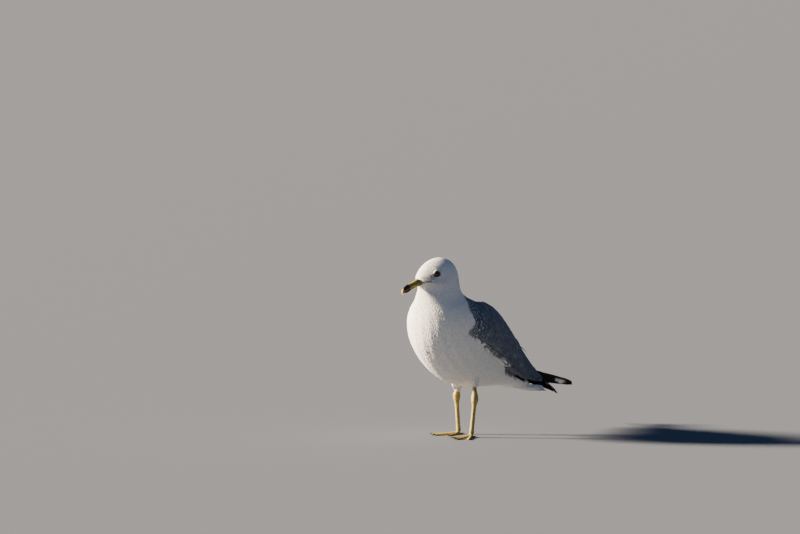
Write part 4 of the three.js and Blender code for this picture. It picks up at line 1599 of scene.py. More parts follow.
@dataclass
class WingCoat:
    """Coverts, shoulder feathers and secondaries of both folded wings."""

    seed: int = 23
    cut: VaneCut = VaneCut(
        steps=(0.0, 0.2, 0.4, 0.6, 0.76, 0.89, 0.97, 1.0), columns=7, under=(1, -1), root=0.5, tip=0.35,
        bluntness=4.0, camber=0.1, skirt=0.7, fray=0.018,
    )
    uneven: float = 0.05  # how lengths, widths and greys differ, as shares
    # Where the shoulder feathers end on the wing: station and angle
    crease: tuple = ((0.6, 8), (2, -8), (3.1, -17), (5, -33), (7, -50), (8, -60))
    rows: tuple = (
        Row("secondaries", (2.2, 7.4), ((2, -86), (8, -84)), ((2, -52), (8, -30)), 12, 8.5,
            (40, 48), (12, 13), -3.1, -2.4),
        Row("greater_coverts", (1.4, 6.6), ((1, -74), (8, -62)), ((1, -36), (8, -20)), 13, 7.5,
            (26, 34), (11, 13), -2.9, -1.9),
        Row("median_coverts", (0.9, 5.6), ((1, -64), (8, -52)), ((1, -18), (8, -12)), 9, 7.0,
            (17, 22), (10, 12), -2.6, -1.5),
        Row("lesser_coverts", (0.12, 4.6), ((0, -84), (1, -80), (1.6, -58), (5, -42)),
            ((0, 60), (1, 24), (2, 6), (5, -14)), 4.4, 4.4, (10, 17), (6, 10), -2.3, -1.1),
        Row("scapulars", (0.5, 7.6), crease, ((0, 92), (8, 92)), 6.0, 5.6, (16, 34), (8, 15), -2.3, -0.2),
    )

    def __post_init__(self) -> None:
        """Start the source of chance."""
        self.rng = np.random.default_rng(self.seed)

    def laid(self, root: Array, tip: Array, heights: tuple, late: float, cut: VaneCut) -> tuple:
        """Spines over the wing from root to tip places.

        Args:
            root: station and angle of each root.
            tip: station and angle of each tip.
            heights: millimetres from the wing's surface at root and tip.
            late: power with which a feather rises.
            cut: the kind of feather.

        Returns:
            The spines, and the directions across and up along them.
        """
        t = np.array(cut.steps)[None, :]
        station = root[:, :1] + (tip[:, :1] - root[:, :1]) * t
        angle = root[:, 1:] + (tip[:, 1:] - root[:, 1:]) * t
        point, normal, _ = WING.frame(station, angle)
        height = heights[0] + (heights[1] - heights[0]) * t**late
        height = height * np.clip(WING.swell(station) / 9.0, 0.12, 1.0)
        spine = point + normal * height[..., None]
        ahead = unit(np.gradient(spine, axis=1))
        return spine, unit(np.cross(normal, ahead)), normal

    def station_step(self, station: Array, angle: Array, distance: Array) -> Array:
        """How many stations a distance along the wing is."""
        ahead = WING.point(station + 0.1, angle) - WING.point(station, angle)
        return 0.1 * distance / np.maximum(norm(ahead, axis=-1), 0.2)

    def lay(self, row: Row) -> Bunch:
        """Lay one group.

        Args:
            row: the group.

        Returns:
            Its feathers along their spines.
        """
        rows = []
        (first, last), order = row.stations, 0
        station = first
        while station < last:
            share = (station - first) / (last - first)
            low = np.interp(station, *np.array(row.low, float).T)
            high = np.interp(station, *np.array(row.high, float).T)
            fine = np.linspace(low, high, 60)
            line = WING.point(np.full(60, station), fine)
            way = np.concatenate([[0], np.cumsum(norm(np.diff(line, axis=0), axis=1))])
            places = np.arange(row.gap * (0.25 + 0.5 * (order % 2)), way[-1], row.gap)
            rows += [(station, angle, share) for angle in np.interp(places, way, fine)]
            station += float(self.station_step(np.array(station), np.array((low + high) / 2), row.row_gap))
            order += 1
        root, share = np.array(rows)[:, :2], np.array(rows)[:, 2]
        count = len(root)
        root += self.rng.normal(0, 1, (count, 2)) * (0.03, 1.1)
        length, width = (start + (end - start) * share for start, end in (row.length, row.width))
        length *= 1 + self.uneven * self.rng.normal(0, 1, count)
        width *= 1 + self.uneven * self.rng.normal(0, 1, count)
        ahead = self.station_step(root[:, 0], root[:, 1], length)
        tip = np.stack([np.minimum(root[:, 0] + ahead, WING.last - 0.1), root[:, 1]], 1)
        spine, across, up = self.laid(root, tip, (row.root_height, row.tip_height), row.late, self.cut)
        tone = MARKINGS.tone(spine + self.rng.normal(0, Coat.stray, (count, 1, 3)), wing=True)
        tone *= 0.96 + self.uneven * self.rng.normal(0, 1, (count, 1))
        chart = np.stack([0.5 + root[:, 1] / 400, 0.05 + root[:, 0] / 14], 1)
        return Bunch(spine, across, up, width, chart, tone, length=length)

    def build(self, material: Material) -> None:
        """Make the groups' pieces on both wings."""
        for row in self.rows:
            make_pair(row.name, self.lay(row).cut(self.cut, self.rng), material)


@dataclass
class Tertials:
    """The long inner feathers that lie over each folded wing's rear, with white ends."""

    # Root station and angle, tip station and angle, width, white end
    feathers: tuple = (
        (4.6, -46, 9.0, -66, 15, 4.0),
        (5.0, -34, 9.9, -56, 17, 5.0),
        (5.2, -18, 10.7, -44, 19, 6.5),
        (5.4, 2, 11.3, -30, 20, 7.5),
        (5.4, 24, 11.75, -10, 20, 8.0),
        (5.6, 48, 11.6, 22, 18, 4.6),
        (5.6, 70, 10.9, 52, 16, 3.6),
    )
    heights: tuple = (-3.0, -0.8)
    late: float = 0.6
    lift: float = 0.18  # how much higher each feather lies than the one below it
    cut: VaneCut = VaneCut(
        steps=(0.0, 0.12, 0.26, 0.4, 0.54, 0.67, 0.78, 0.87, 0.94, 0.985, 1.0), columns=9,
        under=(0.66, 0.0, -0.66), root=0.6, opening=0.25, tip=0.3, bluntness=5.0, camber=0.16, thick=0.35,
        fray=0.006,
    )

    def lay(self, coat: WingCoat) -> Bunch:
        """Lay the feathers of the left wing.

        Args:
            coat: the wing's own plumage, which knows the way over the wing.

        Returns:
            The feathers along their spines.
        """
        rows = np.array(self.feathers, float)
        order = np.arange(len(rows))
        spine, across, up = coat.laid(rows[:, :2], rows[:, 2:4], self.heights, self.late, self.cut)
        spine = spine + up * (order * self.lift)[:, None, None]
        chart = np.stack([0.1 + 0.12 * order, np.full(len(rows), 0.5)], 1)
        return Bunch(spine, across, up, rows[:, 4], chart, tone=1.0, tip=rows[:, 5])

    def build(self, coat: WingCoat, material: Material) -> None:
        """Make both sides' pieces."""
        make_pair("tertial_vanes", self.lay(coat).cut(self.cut, coat.rng, patch=0.1), material)


@dataclass
class Primaries:
    """One wing's stack of long black feathers, each with a shaft and a narrow outer vane."""

    side: Side
    width: float
    edge: tuple  # points of the outermost feather's lower edge
    mirror: tuple[float, float] = (15.5, 26.0)  # white window, millimetres from its end
    mirror_top: float = 4.6  # how far towards the upper edge it reaches
    inward: float = 0.0  # how far the roots lie in towards the body
    tucked: float = 6.0  # how far the roots lie up inside the wing
    shorter: tuple = (0, 0.045, 0.12, 0.225, 0.34)
    rise: float = 1.5
    overlap: float = 1.2
    lean: float = 33.0
    white_tips: tuple = (0.0, 2.2, 3.0, 3.4, 3.6)
    cut: VaneCut = VaneCut(
        steps=tuple(np.linspace(0, 0.8, 13)) + tuple(np.linspace(0.83, 0.97, 12)) + (0.98, 0.99, 1.0),
        columns=9, under=(0.6, 0.0, -0.6), root=0.35, opening=0.14, tip=0.12, bluntness=5.0, camber=0.1,
        thick=0.5, fray=0.002,
    )

    def lay(self) -> Bunch:
        """Lay the blades.

        Returns:
            The blades along their shafts, the outermost first.
        """
        lean, sign = math.radians(self.lean), self.side.value
        rising = np.array([-math.sin(lean) * sign, 0, math.cos(lean)])
        out = np.array([math.cos(lean) * sign, 0, math.sin(lean)])
        t = np.array(self.cut.steps)
        half = self.width * self.cut.outline(t) / 2 + self.tucked * ease(0.3, 0.08, t)
        orders = np.arange(len(self.shorter))
        spine = []
        for order, short in zip(orders, self.shorter):
            centre = along(self.edge, t * (len(self.edge) - 1) * (1 - short))
            aside = (order - orders[-1] * (1 - t)) * self.overlap - self.inward * ease(0.62, 0.2, t)
            centre = centre + rising * (half + order * self.rise)[:, None] + out * aside[:, None]
            spine.append(placed(centre))
        across, up = (np.broadcast_to(way, np.shape(spine)) for way in (rising, out))
        chart = np.stack([np.full(len(orders), 0.5), 0.1 + 0.18 * orders], 1)
        return Bunch(np.array(spine), across, up, self.width, chart, dark=1.0, tip=self.white_tips)

    def build(self, material: Material) -> None:
        """Make the stack's piece, with the white window in its outermost blade.

        Args:
            material: the feathers' finish.
        """
        bunch = self.lay()
        data = bunch.cut(self.cut, np.random.default_rng(31), patch=0.12)
        outermost = np.arange(len(data.points)) < len(data.points) // len(bunch.length)
        along_it, aside, _ = data.values["vane"].T
        to_end = bunch.length[0] - along_it
        low, high = self.mirror
        window = ease(low - 2, low + 1, to_end + 0.35 * aside)
        window *= ease(high + 1.5, high, to_end - 0.8 * aside)
        window *= ease(self.mirror_top + 1, self.mirror_top, aside)
        data.values["dark"] = data.values["dark"] * (1 - window * outermost)
        word = self.side.word
        make_piece(f"primary_vanes_{word}", data, material, (f"primaries_{word}",))


@dataclass
class Tail:
    """The closed fan of twelve white feathers, the middle pair on top."""

    count: int = 12
    root: tuple = (150.0, 70.0, 12.0)  # y, z, half width
    tip: tuple = (227.0, 62.5, 21.0)
    feather_width: float = 14.0
    dip: float = 0.6
    lift: float = 1.2  # how far the vanes lie over the line from root to tip
    arch: float = 2.0
    stack: float = 0.28  # each feather lies this much under the next one in
    corner: float = 3.0
    cut: VaneCut = VaneCut(
        steps=(0.0, 0.12, 0.25, 0.38, 0.5, 0.62, 0.74, 0.84, 0.92, 0.97, 0.99, 1.0), columns=9,
        under=(0.6, 0.0, -0.6), root=0.7, opening=0.5, tip=0.6, bluntness=12.0, camber=0.05, thick=0.3,
    )

    def lay(self) -> Bunch:
        """Lay the feathers.

        Returns:
            The feathers along their shafts, from the bird's right to its left.
        """
        t = np.array(self.cut.steps)
        start, end = np.array(self.root), np.array(self.tip)
        spine = []
        for place in np.linspace(-1, 1, self.count):
            x = (start[2] + (end[2] - start[2]) * t) * place
            y = start[0] + (end[0] - start[0] - self.corner * place**4) * t
            z = start[1] + (end[1] - start[1]) * t**self.dip + self.lift
            z = z - self.arch * t * place**2 - x * TAIL_ROLL - self.stack * abs(place) * self.count / 2
            spine.append(placed(np.stack([x, y, z], 1)))
        ahead = unit(np.gradient(spine, axis=1))
        level = np.broadcast_to(unit(np.array([1.0, 0.0, -TAIL_ROLL])), ahead.shape)
        up = unit(np.cross(level, ahead))
        up *= np.sign(up[..., 2:])
        chart = np.stack([np.full(self.count, 0.5), 0.06 + 0.075 * np.arange(self.count)], 1)
        return Bunch(np.array(spine), unit(np.cross(up, ahead)), up, self.feather_width, chart)

    def build(self, material: Material) -> None:
        """Make the tail's piece."""
        data = self.lay().cut(self.cut, np.random.default_rng(37), patch=0.06)
        make_piece("tail_vanes", data, material, ("tail",))


@dataclass
class LooseFeather:
    """One long shoulder feather that stands off the back, grey darkened to dusky along its whole length."""

    spine: tuple = ((8, 150, 141), (7, 168, 131.5), (6, 184, 123.5), (4, 200, 115))
    width: float = 8.0
    lean: float = 41.0  # degrees by which its face turns to the bird's left
    dusk: float = 0.8  # how dark it is
    cut: VaneCut = VaneCut(
        steps=tuple(np.linspace(0, 0.85, 10)) + (0.92, 0.97, 1.0), columns=7, under=(0.5, -0.5), root=0.4,
        opening=0.1, tip=0.1, bluntness=3.0, camber=0.2, thick=0.4, fray=0.01,
    )

    def build(self, material: Material) -> None:
        """Make the feather's piece.

        Args:
            material: its finish.
        """
        t = np.array(self.cut.steps)
        lean = math.radians(self.lean)
        spine = placed(along(self.spine, t * (len(self.spine) - 1)))[None]
        across = np.broadcast_to(np.array([math.cos(lean), 0, -math.sin(lean)]), spine.shape)
        up = np.broadcast_to(np.array([math.sin(lean), 0, math.cos(lean)]), spine.shape)
        bunch = Bunch(spine, across, up, self.width, np.full((1, 2), 0.5), tone=1.0, dark=self.dusk)
        data = bunch.cut(self.cut, np.random.default_rng(41), patch=0.3)
        make_piece("loose_shoulder_feather", data, material, ("loose_feather",))


# ---- bill and eyes
@dataclass
class Bill:
    """Both halves of the bill: hooked ridge, gonys, mouth line, cutting edges and nostrils."""

    # Forward, ridge, mouth line, lower edge and half width, in the head's frame
    stations: tuple = (
        (12.0, -8.5, -8.9, -9.2, 0.0), (16.0, -6.6, -8.0, -10.2, 0.0), (20.0, -3.4, -7.6, -11.7, 0.0),
        (23.5, -1.0, -7.3, -12.3, 5.7), (26.5, -0.9, -7.3, -12.3, 5.2), (30.0, -1.4, -7.4, -12.4, 4.7),
        (37.0, -1.7, -7.6, -12.9, 3.9), (43.5, -2.0, -7.8, -13.8, 3.4), (48.5, -2.8, -8.2, -13.8, 3.0),
        (52.5, -4.4, -9.2, -12.2, 2.4), (55.4, -6.8, -10.6, -11.6, 1.6), (56.8, -9.6, -12.4, -12.6, 0.9),
    )
    rings: int = 120
    stands_out: float = 1.25  # how far the horn lies outside the skin at the corner of the mouth
    sides: int = 40  # points over the outer face; the mouth side has a few more
    lower_width: float = 0.86
    overlap: float = 0.35  # how far the upper cutting edge hangs over the lower half
    squareness: tuple = (0.4, 0.84)  # power of sine and cosine behind the base and before it
    nostril: tuple = (33.6, 4.0, -4.6, 0.95)  # forward, half length, up, half height
    nostril_depth: float = 1.1

    def section(self, forward: Array, row: Array, upper: bool) -> Array:
        """Draw one ring of a half.

        Args:
            forward: where the ring is.
            row: heights of ridge, mouth and lower edge, and half width, there.
            upper: whether it is the upper half's.

        Returns:
            The ring's points, in the head's frame.
        """
        ridge, mouth, keel, half = row
        angle = np.linspace(0, math.pi, self.sides)
        flip = 1.0 if upper else -1.0
        depth = max((ridge - mouth) if upper else (mouth - keel), 0.35)
        wide = half * (1.0 if upper else self.lower_width)
        behind, before = self.squareness
        power = behind + (before - behind) * float(ease(19.0, 26.0, forward))
        side = np.sign(np.cos(angle)) * np.abs(np.cos(angle)) ** power * wide
        rise = np.sin(angle) ** power
        edge = mouth + 0.1 * flip - (self.overlap * np.exp(-((rise / 0.25) ** 2)) if upper else 0.0)
        outer = np.stack([np.full(self.sides, forward), side, edge + flip * rise * depth], 1)
        across = np.linspace(-0.82, 0.82, 7) * wide
        inner = np.stack([0 * across + forward, across, 0 * across + mouth + flip * 0.25], 1)
        return np.concatenate([outer, inner])

    def fitted(self, skin: Skin) -> Array:
        """Fit the horn behind the bill's base to the skin there.

        Args:
            skin: the finished skin.

        Returns:
            The stations, with every half width filled in.
        """
        rows = np.array(self.stations, float)
        forward, side, up = HEAD.local(skin.points).T
        for row in rows:
            if row[4] == 0:
                near = np.exp(-(((forward - row[0]) / 1.2) ** 2) - ((up - row[2]) / 1.2) ** 2)
                near *= np.abs(side) > 2
                row[4] = (near * np.abs(side)).sum() / near.sum() + self.stands_out
        return rows

    def half(self, upper: bool, stations: Array) -> MeshData:
        """Loft one half.

        Args:
            upper: whether it is the upper one.
            stations: the bill's stations.

        Returns:
            Its mesh, which carries place.
        """
        rows = along(stations, np.linspace(0, len(stations) - 1, self.rings))
        local = np.array([self.section(row[0], row[1:], upper) for row in rows])
        if upper:
            local = self.with_nostrils(local)
        points, triangles = lofted(HEAD.place(local))
        place = HEAD.local(points)
        chart = np.stack([(place[:, 0] - 19) / 40, 0.5 + place[:, 1] / 14 + place[:, 2] / 60], 1)
        return MeshData(points, triangles, chart, {"place": place})

    def with_nostrils(self, local: Array) -> Array:
        """Sink a slot into each side.

        Args:
            local: the upper half's rings.

        Returns:
            The same rings, with nostrils.
        """
        forward, reach, up, high = self.nostril
        slot = np.exp(-(((local[..., 0] - forward) / reach) ** 4) - ((local[..., 2] - up) / high) ** 4)
        local[..., 1] -= np.sign(local[..., 1]) * slot * self.nostril_depth * (np.abs(local[..., 1]) > 1.0)
        return local

    def build(self, material: Material, skin: Skin) -> None:
        """Make both pieces.

        Args:
            material: the horn's finish.
            skin: the skin round the bill's root.
        """
        rows = self.fitted(skin)
        make_piece("bill_ridge_horn", self.half(True, rows), material, ("bill_upper",))
        make_piece("bill_keel_horn", self.half(False, rows), material, ("bill_lower",))


@dataclass
class Eye:
    """One eyeball with its bulging cornea, and the bare ring of lid round it."""

    side: Side
    radius: float = 6.2
    cornea: float = 0.5  # how far the clear front bulges
    cornea_reach: float = 4.4
    around: int = 64
    rows: int = 40
    gaze_forward: float = 20.0  # degrees ahead of straight out
    gaze_up: float = 7.0
    open_long: float = 5.4  # half length of the opening
    open_high: float = 3.35
    corner: float = 1.35  # power that draws the opening's ends to corners
    tilt: float = -17.0  # degrees by which the opening's front end sits lower
    lid_width: float = 1.3
    lid_steps: int = 96
    # Widening from the opening, in lid widths, and height over the ball, round the rim's section
    rim: tuple = ((0.0, 0.02), (0.0, 0.3), (0.25, 0.55), (0.6, 0.62), (1.0, 0.5), (1.2, -0.3), (0.6, -0.5))

    def axes(self) -> tuple[Array, Array, Array, Array]:
        """Place the eye's own axes.

        Returns:
            The ball's centre, its gaze, and the directions ahead and up across the gaze.
        """
        centre = np.mean(box_of(f"eye_{self.side.word}"), axis=0)
        a, b, sign = math.radians(self.gaze_forward), math.radians(self.gaze_up), self.side.value
        local = np.array([math.sin(a) * math.cos(b), sign * math.cos(a) * math.cos(b), math.sin(b)])
        gaze = local @ HEAD.axes
        ahead = unit(HEAD.axes[0] - gaze * (HEAD.axes[0] @ gaze))
        up = np.cross(gaze, ahead)
        up *= np.sign(up @ HEAD.axes[2])
        return centre, gaze, ahead, up

    def opening(self, points: Array) -> Array:
        """Judge where places lie in the almond opening, seen along the gaze.

        Args:
            points: places in the part's frame.

        Returns:
            1 on the opening's edge, less inside and more outside.
        """
        centre, _, ahead, up = self.axes()
        lean = math.radians(self.tilt)
        x, y = (points - centre) @ ahead, (points - centre) @ up
        long_way = (x * math.cos(lean) + y * math.sin(lean)) / self.open_long
        high_way = np.abs(y * math.cos(lean) - x * math.sin(lean)) / self.open_high
        return np.sqrt(long_way**2 + high_way ** (2 / self.corner))

    def ball(self) -> MeshData:
        """Shape the eyeball.

        Returns:
            Its mesh, which carries place.
        """
        centre, gaze, ahead, up = self.axes()
        polar = np.linspace(0.02, math.pi - 0.02, self.rows)
        turn = np.arange(self.around) / self.around * 2 * math.pi
        ring = np.cos(turn)[:, None] * ahead + np.sin(turn)[:, None] * up
        off_axis = np.sin(polar) * self.radius
        front = polar < math.pi / 2
        bulge = self.cornea * np.clip(1 - (off_axis / self.cornea_reach) ** 2, 0, 1) ** 1.5 * front
        depth = np.cos(polar) * self.radius + bulge
        rings = centre + depth[:, None, None] * gaze + off_axis[:, None, None] * ring[None]
        points, triangles = lofted(rings)
        off = points - centre
        depth = off @ gaze
        aside = norm(off - depth[:, None] * gaze, axis=1)
        place = np.stack([np.where(depth < 0, self.radius, aside), off @ ahead, off @ up], 1)
        chart = 0.5 + place[:, 1:] / 14
        chart[depth < 0] *= 0.1
        return MeshData(points, triangles, chart, {"place": place})

    def lid(self) -> MeshData:
        """Shape the lid, a rolled rim round an almond opening.

        Returns:
            Its mesh.
        """
        centre, gaze, ahead, up = self.axes()
        turn = np.arange(self.lid_steps) / self.lid_steps * 2 * math.pi
        lean = math.radians(self.tilt)
        x = self.open_long * np.cos(turn)
        y = self.open_high * np.abs(np.sin(turn)) ** self.corner * np.sign(np.sin(turn))
        ahead_part = x * math.cos(lean) - y * math.sin(lean)
        up_part = x * math.sin(lean) + y * math.cos(lean)
        edge = np.arcsin(np.minimum(np.hypot(ahead_part, up_part) / self.radius, 0.98))
        outward = unit(ahead_part[:, None] * ahead + up_part[:, None] * up)
        off = []
        for widen, height in self.rim:
            polar = (edge + widen * self.lid_width / self.radius)[:, None]
            off.append((self.radius + height) * (np.cos(polar) * gaze + np.sin(polar) * outward))
        a, b, c, d = wall_corners(len(off), len(off), self.lid_steps)
        triangles = np.concatenate([np.stack([a, b, d], 1), np.stack([a, d, c], 1)])
        off = np.concatenate(off)
        chart = 0.5 + np.stack([off @ ahead, off @ up], 1) / 16
        return MeshData(centre + off, facing_out(off, triangles), chart)

    def build(self, wet: Material, skin: Material) -> None:
        """Make the ball's and the lid's pieces.

        Args:
            wet: the ball's finish.
            skin: the lid's finish.
        """
        word = self.side.word
        make_piece(f"eyeball_{word}", self.ball(), wet, (f"eye_{word}",))
        make_piece(f"eyelid_{word}", self.lid(), skin)


# ---- legs and feet
@dataclass(frozen=True)
class Toe:
    """One toe: how it points, and how long and thick it is."""

    name: str
    yaw: float
    length: float
    thick: float
    claw: float
    taper: float = 0.35
    flat: float = 0.45  # share of its radius that the floor cuts off
    drop: float = 1.6
    drop_over: float = 1 / 3


TOES = (
    Toe("inner", -28, 33, 4.0, 5),
    Toe("middle", 0, 43, 4.4, 6.5),
    Toe("outer", 25, 40, 4.0, 5),
    Toe("hind", 172, 8.5, 3.0, 3.5),
)


@dataclass
class Leg:
    """One leg and foot: a scaled shank, jointed toes, thin webs and claws."""

    side: Side
    foot: tuple  # the toe joint, in the source's frame
    ankle: tuple
    yaw: float
    voxel: float = 0.42
    plate_gap: float = 2.9  # millimetres between the shank's front plates
    toe_gap: float = 2.3  # between the plates on a toe
    plate_rise: float = 0.3
    pebble_gap: float = 1.3
    pebble_rise: float = 0.14
    shank_swell: float = 0.35  # how far the skin of the shank stands out, and how much more at the ankle
    ankle_swell: float = 0.8
    web_thick: float = 0.7
    claw_rings: int = 14
    claw_sides: int = 14

    def toe_axes(self, toe: Toe) -> tuple[Array, Array]:
        """Directions ahead along a toe and across it.

        Args:
            toe: the toe.

        Returns:
            Both directions.
        """
        yaw = math.radians(self.yaw + toe.yaw) * self.side.value
        ahead = np.array([math.sin(yaw), -math.cos(yaw), 0])
        return ahead, np.array([math.cos(yaw), math.sin(yaw), 0])

    def toe_line(self, toe: Toe, share: Array) -> Array:
        """Draw a toe's middle line.

        Args:
            toe: the toe.
            share: places from its joint, 0, to its end, 1.

        Returns:
            Points of its middle line.
        """
        share = np.asarray(share, float)
        ahead, _ = self.toe_axes(toe)
        base = placed((self.foot[0], self.foot[1], 0))
        radius = toe.thick / 2 * (1 - toe.taper * share)
        start = self.foot[2] - toe.drop
        height = start + (radius * (1 - toe.flat) - start) * np.minimum(share / toe.drop_over, 1)
        return base + ahead * (share * toe.length)[..., None] + np.array([0, 0, 1.0]) * height[..., None]

    def scaled(self) -> MeshData:
        """Shape the leg and foot, with plates and pebbles raised.

        Returns:
            Its mesh, which carries groove and web.
        """
        word = self.side.word
        points, triangles = remeshed((f"leg_{word}", f"foot_{word}"), self.voxel, 0.22)
        net = Net(triangles, len(points))
        floor = points[:, 2] < 0.35
        smooth = net.smoothed(points, 7)
        smooth[floor, 2] = np.minimum(smooth[floor, 2], 0.3)
        smooth[:, 2] = np.maximum(smooth[:, 2], 0.0)
        normals = vertex_normals(smooth, triangles)
        groove, web, rise = self.relief(smooth, normals)
        above = ease(5.0, 10.0, smooth[:, 2])
        joint = np.exp(-(((smooth[:, 2] - self.ankle[2]) / 7.5) ** 2))
        rise = rise + 0.15 + above * (self.shank_swell + self.ankle_swell * joint)
        points = smooth + normals * rise[:, None]
        points[:, 2] = np.maximum(points[:, 2], 0.0)
        chart = np.stack([points[:, 0] / 80 + 0.5, points[:, 1] / 80 + points[:, 2] / 160 + 0.5], 1)
        chart = chart - np.floor(chart.min(axis=0))
        return MeshData(points, triangles, chart, {"groove": groove, "web": web})

    def relief(self, points: Array, normals: Array) -> tuple[Array, Array, Array]:
        """Plates on the shank's front and the toes' tops, pebbles elsewhere, creases on the webs.

        Args:
            points: the smooth mesh.
            normals: its normals.

        Returns:
            How much each vertex is groove, how much web, and how far it rises.
        """
        height = points[:, 2]
        on_shank = ease(5.5, 9.0, height)
        (x, _, low), (ankle_x, _, high) = placed(self.foot), placed(self.ankle)
        axis_x = x + (ankle_x - x) * (height - low) / (high - low)
        plate_edge = self.edge_of((height + 0.35 * np.abs(points[:, 0] - axis_x)) / self.plate_gap)
        front = ease(0.05, 0.45, -normals[:, 1]) * on_shank
        gaps, ways = np.stack([self.toe_gaps(points, toe) for toe in TOES], axis=1)
        nearest = gaps.argmin(axis=0)
        pick = (nearest, np.arange(len(points)))
        thick = np.array([toe.thick for toe in TOES])[nearest]
        on_toe = ease(0.75, 0.5, gaps[pick] / thick) * (1 - on_shank)
        top = ease(0.1, 0.5, normals[:, 2])
        toe_edge = self.edge_of(ways[pick] / self.toe_gap)
        web = (1 - on_toe) * (1 - on_shank)
        pebble = self.pebbles(points)
        plated = np.maximum(front, on_toe * top)
        sharp = np.where(front > on_toe * top, plate_edge, toe_edge)
        groove = plated * sharp + (1 - plated) * pebble * (1 - 0.55 * web)
        rise = self.plate_rise * plated * (1 - sharp)
        rise = rise + self.pebble_rise * (1 - plated) * (1 - pebble) * (1 - 0.5 * web)
        sink = ease(0.35, 0.9, web) * ease(0.2, 0.7, normals[:, 2])
        rise -= sink * np.clip(height - self.web_thick, 0, 0.8)
        return groove, ease(0.2, 0.8, web), rise

    def edge_of(self, phase: Array) -> Array:
        """How near a plate's edge a phase is: 1 at whole numbers, 0 inside."""
        gap = np.abs(phase - np.round(phase))
        return ease(0.16, 0.05, gap)

    def toe_gaps(self, points: Array, toe: Toe) -> tuple[Array, Array]:
        """Measure places from a toe.

        Args:
            points: places on the foot.
            toe: the toe.

        Returns:
            Their distance in plan from its middle line, and their way along it.
        """
        ahead, across = self.toe_axes(toe)
        off = points - placed((self.foot[0], self.foot[1], 0))
        way = np.clip(off @ ahead, 0, toe.length)
        return np.hypot(off @ across, off @ ahead - way), way

    def pebbles(self, points: Array) -> Array:
        """Draw small scales, each round one of scattered seeds.

        Args:
            points: places on the leg.

        Returns:
            1 between scales to 0 on them.
        """
        rng = np.random.default_rng(53)
        some = points[rng.permutation(len(points))[: len(points) // 3]]
        taken: set[tuple[int, int, int]] = set()
        seeds = []
        for p in some.tolist():
            key = tuple(int(math.floor(q / self.pebble_gap)) for q in p)
            if key not in taken:
                taken.add(key)
                seeds.append(p)
        tree = lookup(seeds)
        pairs = [tree.find_n(p, 2) for p in points.tolist()]
        spread = np.array([(b[2] - a[2]) for a, b in pairs])
        return ease(0.32, 0.05, spread)

    def claws(self) -> MeshData:
        """Shape the four claws: round at the root, curved down to a blunt point.

        Returns:
            Their mesh.
        """
        parts = []
        for toe in TOES:
            ahead, across = self.toe_axes(toe)
            root = toe.thick / 2 * (1 - toe.taper) * 0.72
            start = self.toe_line(toe, np.array(1.0)) - ahead * 1.2
            turn = np.arange(self.claw_sides) / self.claw_sides * 2 * math.pi
            rings = []
            for share in np.linspace(0, 1, self.claw_rings):
                radius = root * (1 - share) ** 0.7 + 0.16
                centre = start + ahead * share * (toe.claw + 1.1)
                low = 0.32 + radius * 0.95
                centre[2] = low + 1.1 * math.sin(share * math.pi * 0.75) * (1 - share)
                spread = np.cos(turn)[:, None] * across * radius * 0.85
                rings.append(centre + spread + np.sin(turn)[:, None] * np.array([0, 0, radius]))
            points, triangles = lofted(np.array(rings))
            parts.append(MeshData(points, triangles, 0.5 + (points[:, :2] - start[:2]) / 60))
        return joined(parts)

    def build(self, skin: Material, horn: Material) -> None:
        """Make the leg's and the claws' pieces.

        Args:
            skin: the leg's finish.
            horn: the claws' finish.
        """
        word = self.side.word
        make_piece(f"leg_scales_{word}", self.scaled(), skin, (f"leg_{word}", f"foot_{word}"))
        nodes = tuple(f"claw_{word}_{toe.name}" for toe in TOES)
        make_piece(f"claw_set_{word}", self.claws(), horn, nodes)


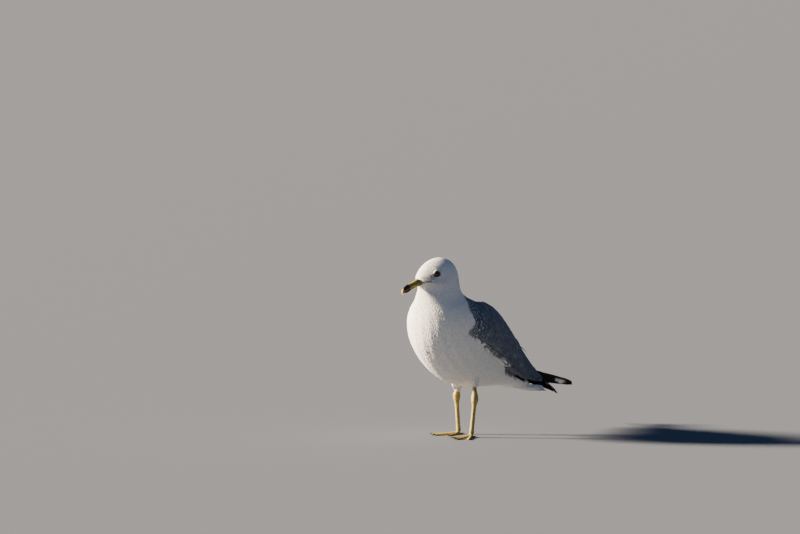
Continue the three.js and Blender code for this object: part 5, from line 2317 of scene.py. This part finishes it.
# ---- studio
@dataclass
class Studio:
    """Floor, soft lights and camera."""

    azimuth: float = 36.0
    elevation: float = 5.0
    distance: float = 20.0
    lens: float = 600.0
    aim_side: float = -0.0705  # from the body's origin to the middle of the view, in metres
    aim_up: float = 0.2573
    floor_size: float = 60.0
    key_side: float = -0.97  # direction of the warm key: right, towards the viewer, and up
    key_near: float = -0.1
    key_up: float = 0.36
    key_strength: float = 25.0
    key_softness: float = 10.0  # degrees across
    key_colour: str = "#FFEBD2"
    world: str = "#7FA3DC"
    world_strength: float = 0.27

    def __post_init__(self) -> None:
        """Work out the view's axes."""
        a, e = math.radians(self.azimuth), math.radians(self.elevation)
        self.right = np.array([math.cos(a), math.sin(a), 0])
        self.toward = np.array([math.sin(a), -math.cos(a), 0])
        self.back = self.toward * math.cos(e) + np.array([0, 0, math.sin(e)])
        self.up = np.cross(self.back, self.right)
        self.origin = SOURCE_SHIFT * MM

    def aimed(self, item: bpy.types.Object, place: Array, target: Array) -> None:
        """Put an object in place, looking at a target.

        Args:
            item: the lamp or camera.
            place: where it stands.
            target: what it looks at.
        """
        item.location = place
        item.rotation_euler = Vector(target - place).to_track_quat("-Z", "Y").to_euler()

    def add_camera(self) -> None:
        """Add the camera that frames the bird."""
        data = bpy.data.cameras.new("view")
        data.lens, data.sensor_width = self.lens, 36.0
        data.clip_start, data.clip_end = 1.0, 200.0
        camera = added("view", data)
        target = self.origin + self.right * self.aim_side + self.up * self.aim_up
        self.aimed(camera, target + self.back * self.distance, target)
        bpy.context.scene.camera = camera

    def add_lamps(self) -> None:
        """Add the soft key and the world's glow."""
        data = bpy.data.lights.new("key", "SUN")
        data.energy, data.angle = self.key_strength, math.radians(self.key_softness)
        data.color = linear(self.key_colour)[:3]
        place = self.right * self.key_side + self.toward * self.key_near + (0, 0, self.key_up)
        self.aimed(added("key", data), self.origin + place * 3, self.origin)
        world = bpy.data.worlds.new("studio_world")
        world.use_nodes = True
        glow = world.node_tree.nodes["Background"]
        glow.inputs["Color"].default_value = linear(self.world)
        glow.inputs["Strength"].default_value = self.world_strength
        bpy.context.scene.world = world

    def add_floor(self, material: Material) -> None:
        """Add the level floor.

        Args:
            material: its finish.
        """
        steps = np.linspace(-1, 1, 21)
        x, y = np.meshgrid(steps, steps, indexing="ij")
        points = np.stack([x, y, 0 * x], -1).reshape(-1, 3) * self.floor_size / 2
        r, s = np.meshgrid(np.arange(20), np.arange(20), indexing="ij")
        a = (r * 21 + s).ravel()
        faces = np.stack([a, a + 21, a + 22, a + 1], 1)
        mesh = plain_mesh("floor", points, faces)
        mesh.materials.append(material)
        added("floor", mesh)

    def build(self, material: Material) -> None:
        """Make everything round the bird.

        Args:
            material: the floor's finish.
        """
        self.add_camera()
        self.add_lamps()
        self.add_floor(material)


def main() -> None:
    """Build the bird piece by piece, then its studio."""
    plumage = PlumageFinish().build()
    horn, claw, wet = HornFinish().build(), CLAW_HORN.build(), EyeFinish().build()
    leg_skin, lid_skin = LegSkinFinish().build(), LID_SKIN.build()
    skin = Skin()
    skin.build(SkinFinish().build())
    Coat(skin).build(plumage)
    coat = WingCoat()
    coat.build(plumage)
    Tertials().build(coat, plumage)
    Primaries(
        Side.LEFT, 15.0,
        ((42, 98, 94), (34, 140, 82), (26, 178, 73), (17, 214, 64.5), (7, 254, 55), (-8, 299, 43.5)),
    ).build(plumage)
    Primaries(
        Side.RIGHT, 18.5,
        ((-42, 98, 95), (-35, 140, 85), (-28, 178, 78), (-19, 214, 72), (-7, 254, 65.5), (12, 306, 57)),
        inward=8.0,
    ).build(plumage)
    Tail().build(plumage)
    LooseFeather().build(plumage)
    Bill().build(horn, skin)
    for side in Side:
        Eye(side).build(wet, lid_skin)
    Leg(Side.LEFT, (19.8, 35.2, 4.8), (24.8, 37.4, 58.4), 5.0).build(leg_skin, claw)
    Leg(Side.RIGHT, (-24, 63, 4.8), (-29.6, 65.4, 57.4), 20.0).build(leg_skin, claw)
    Studio().build(FLOOR_BOARD.build())


if __name__ == "__main__":
    main()
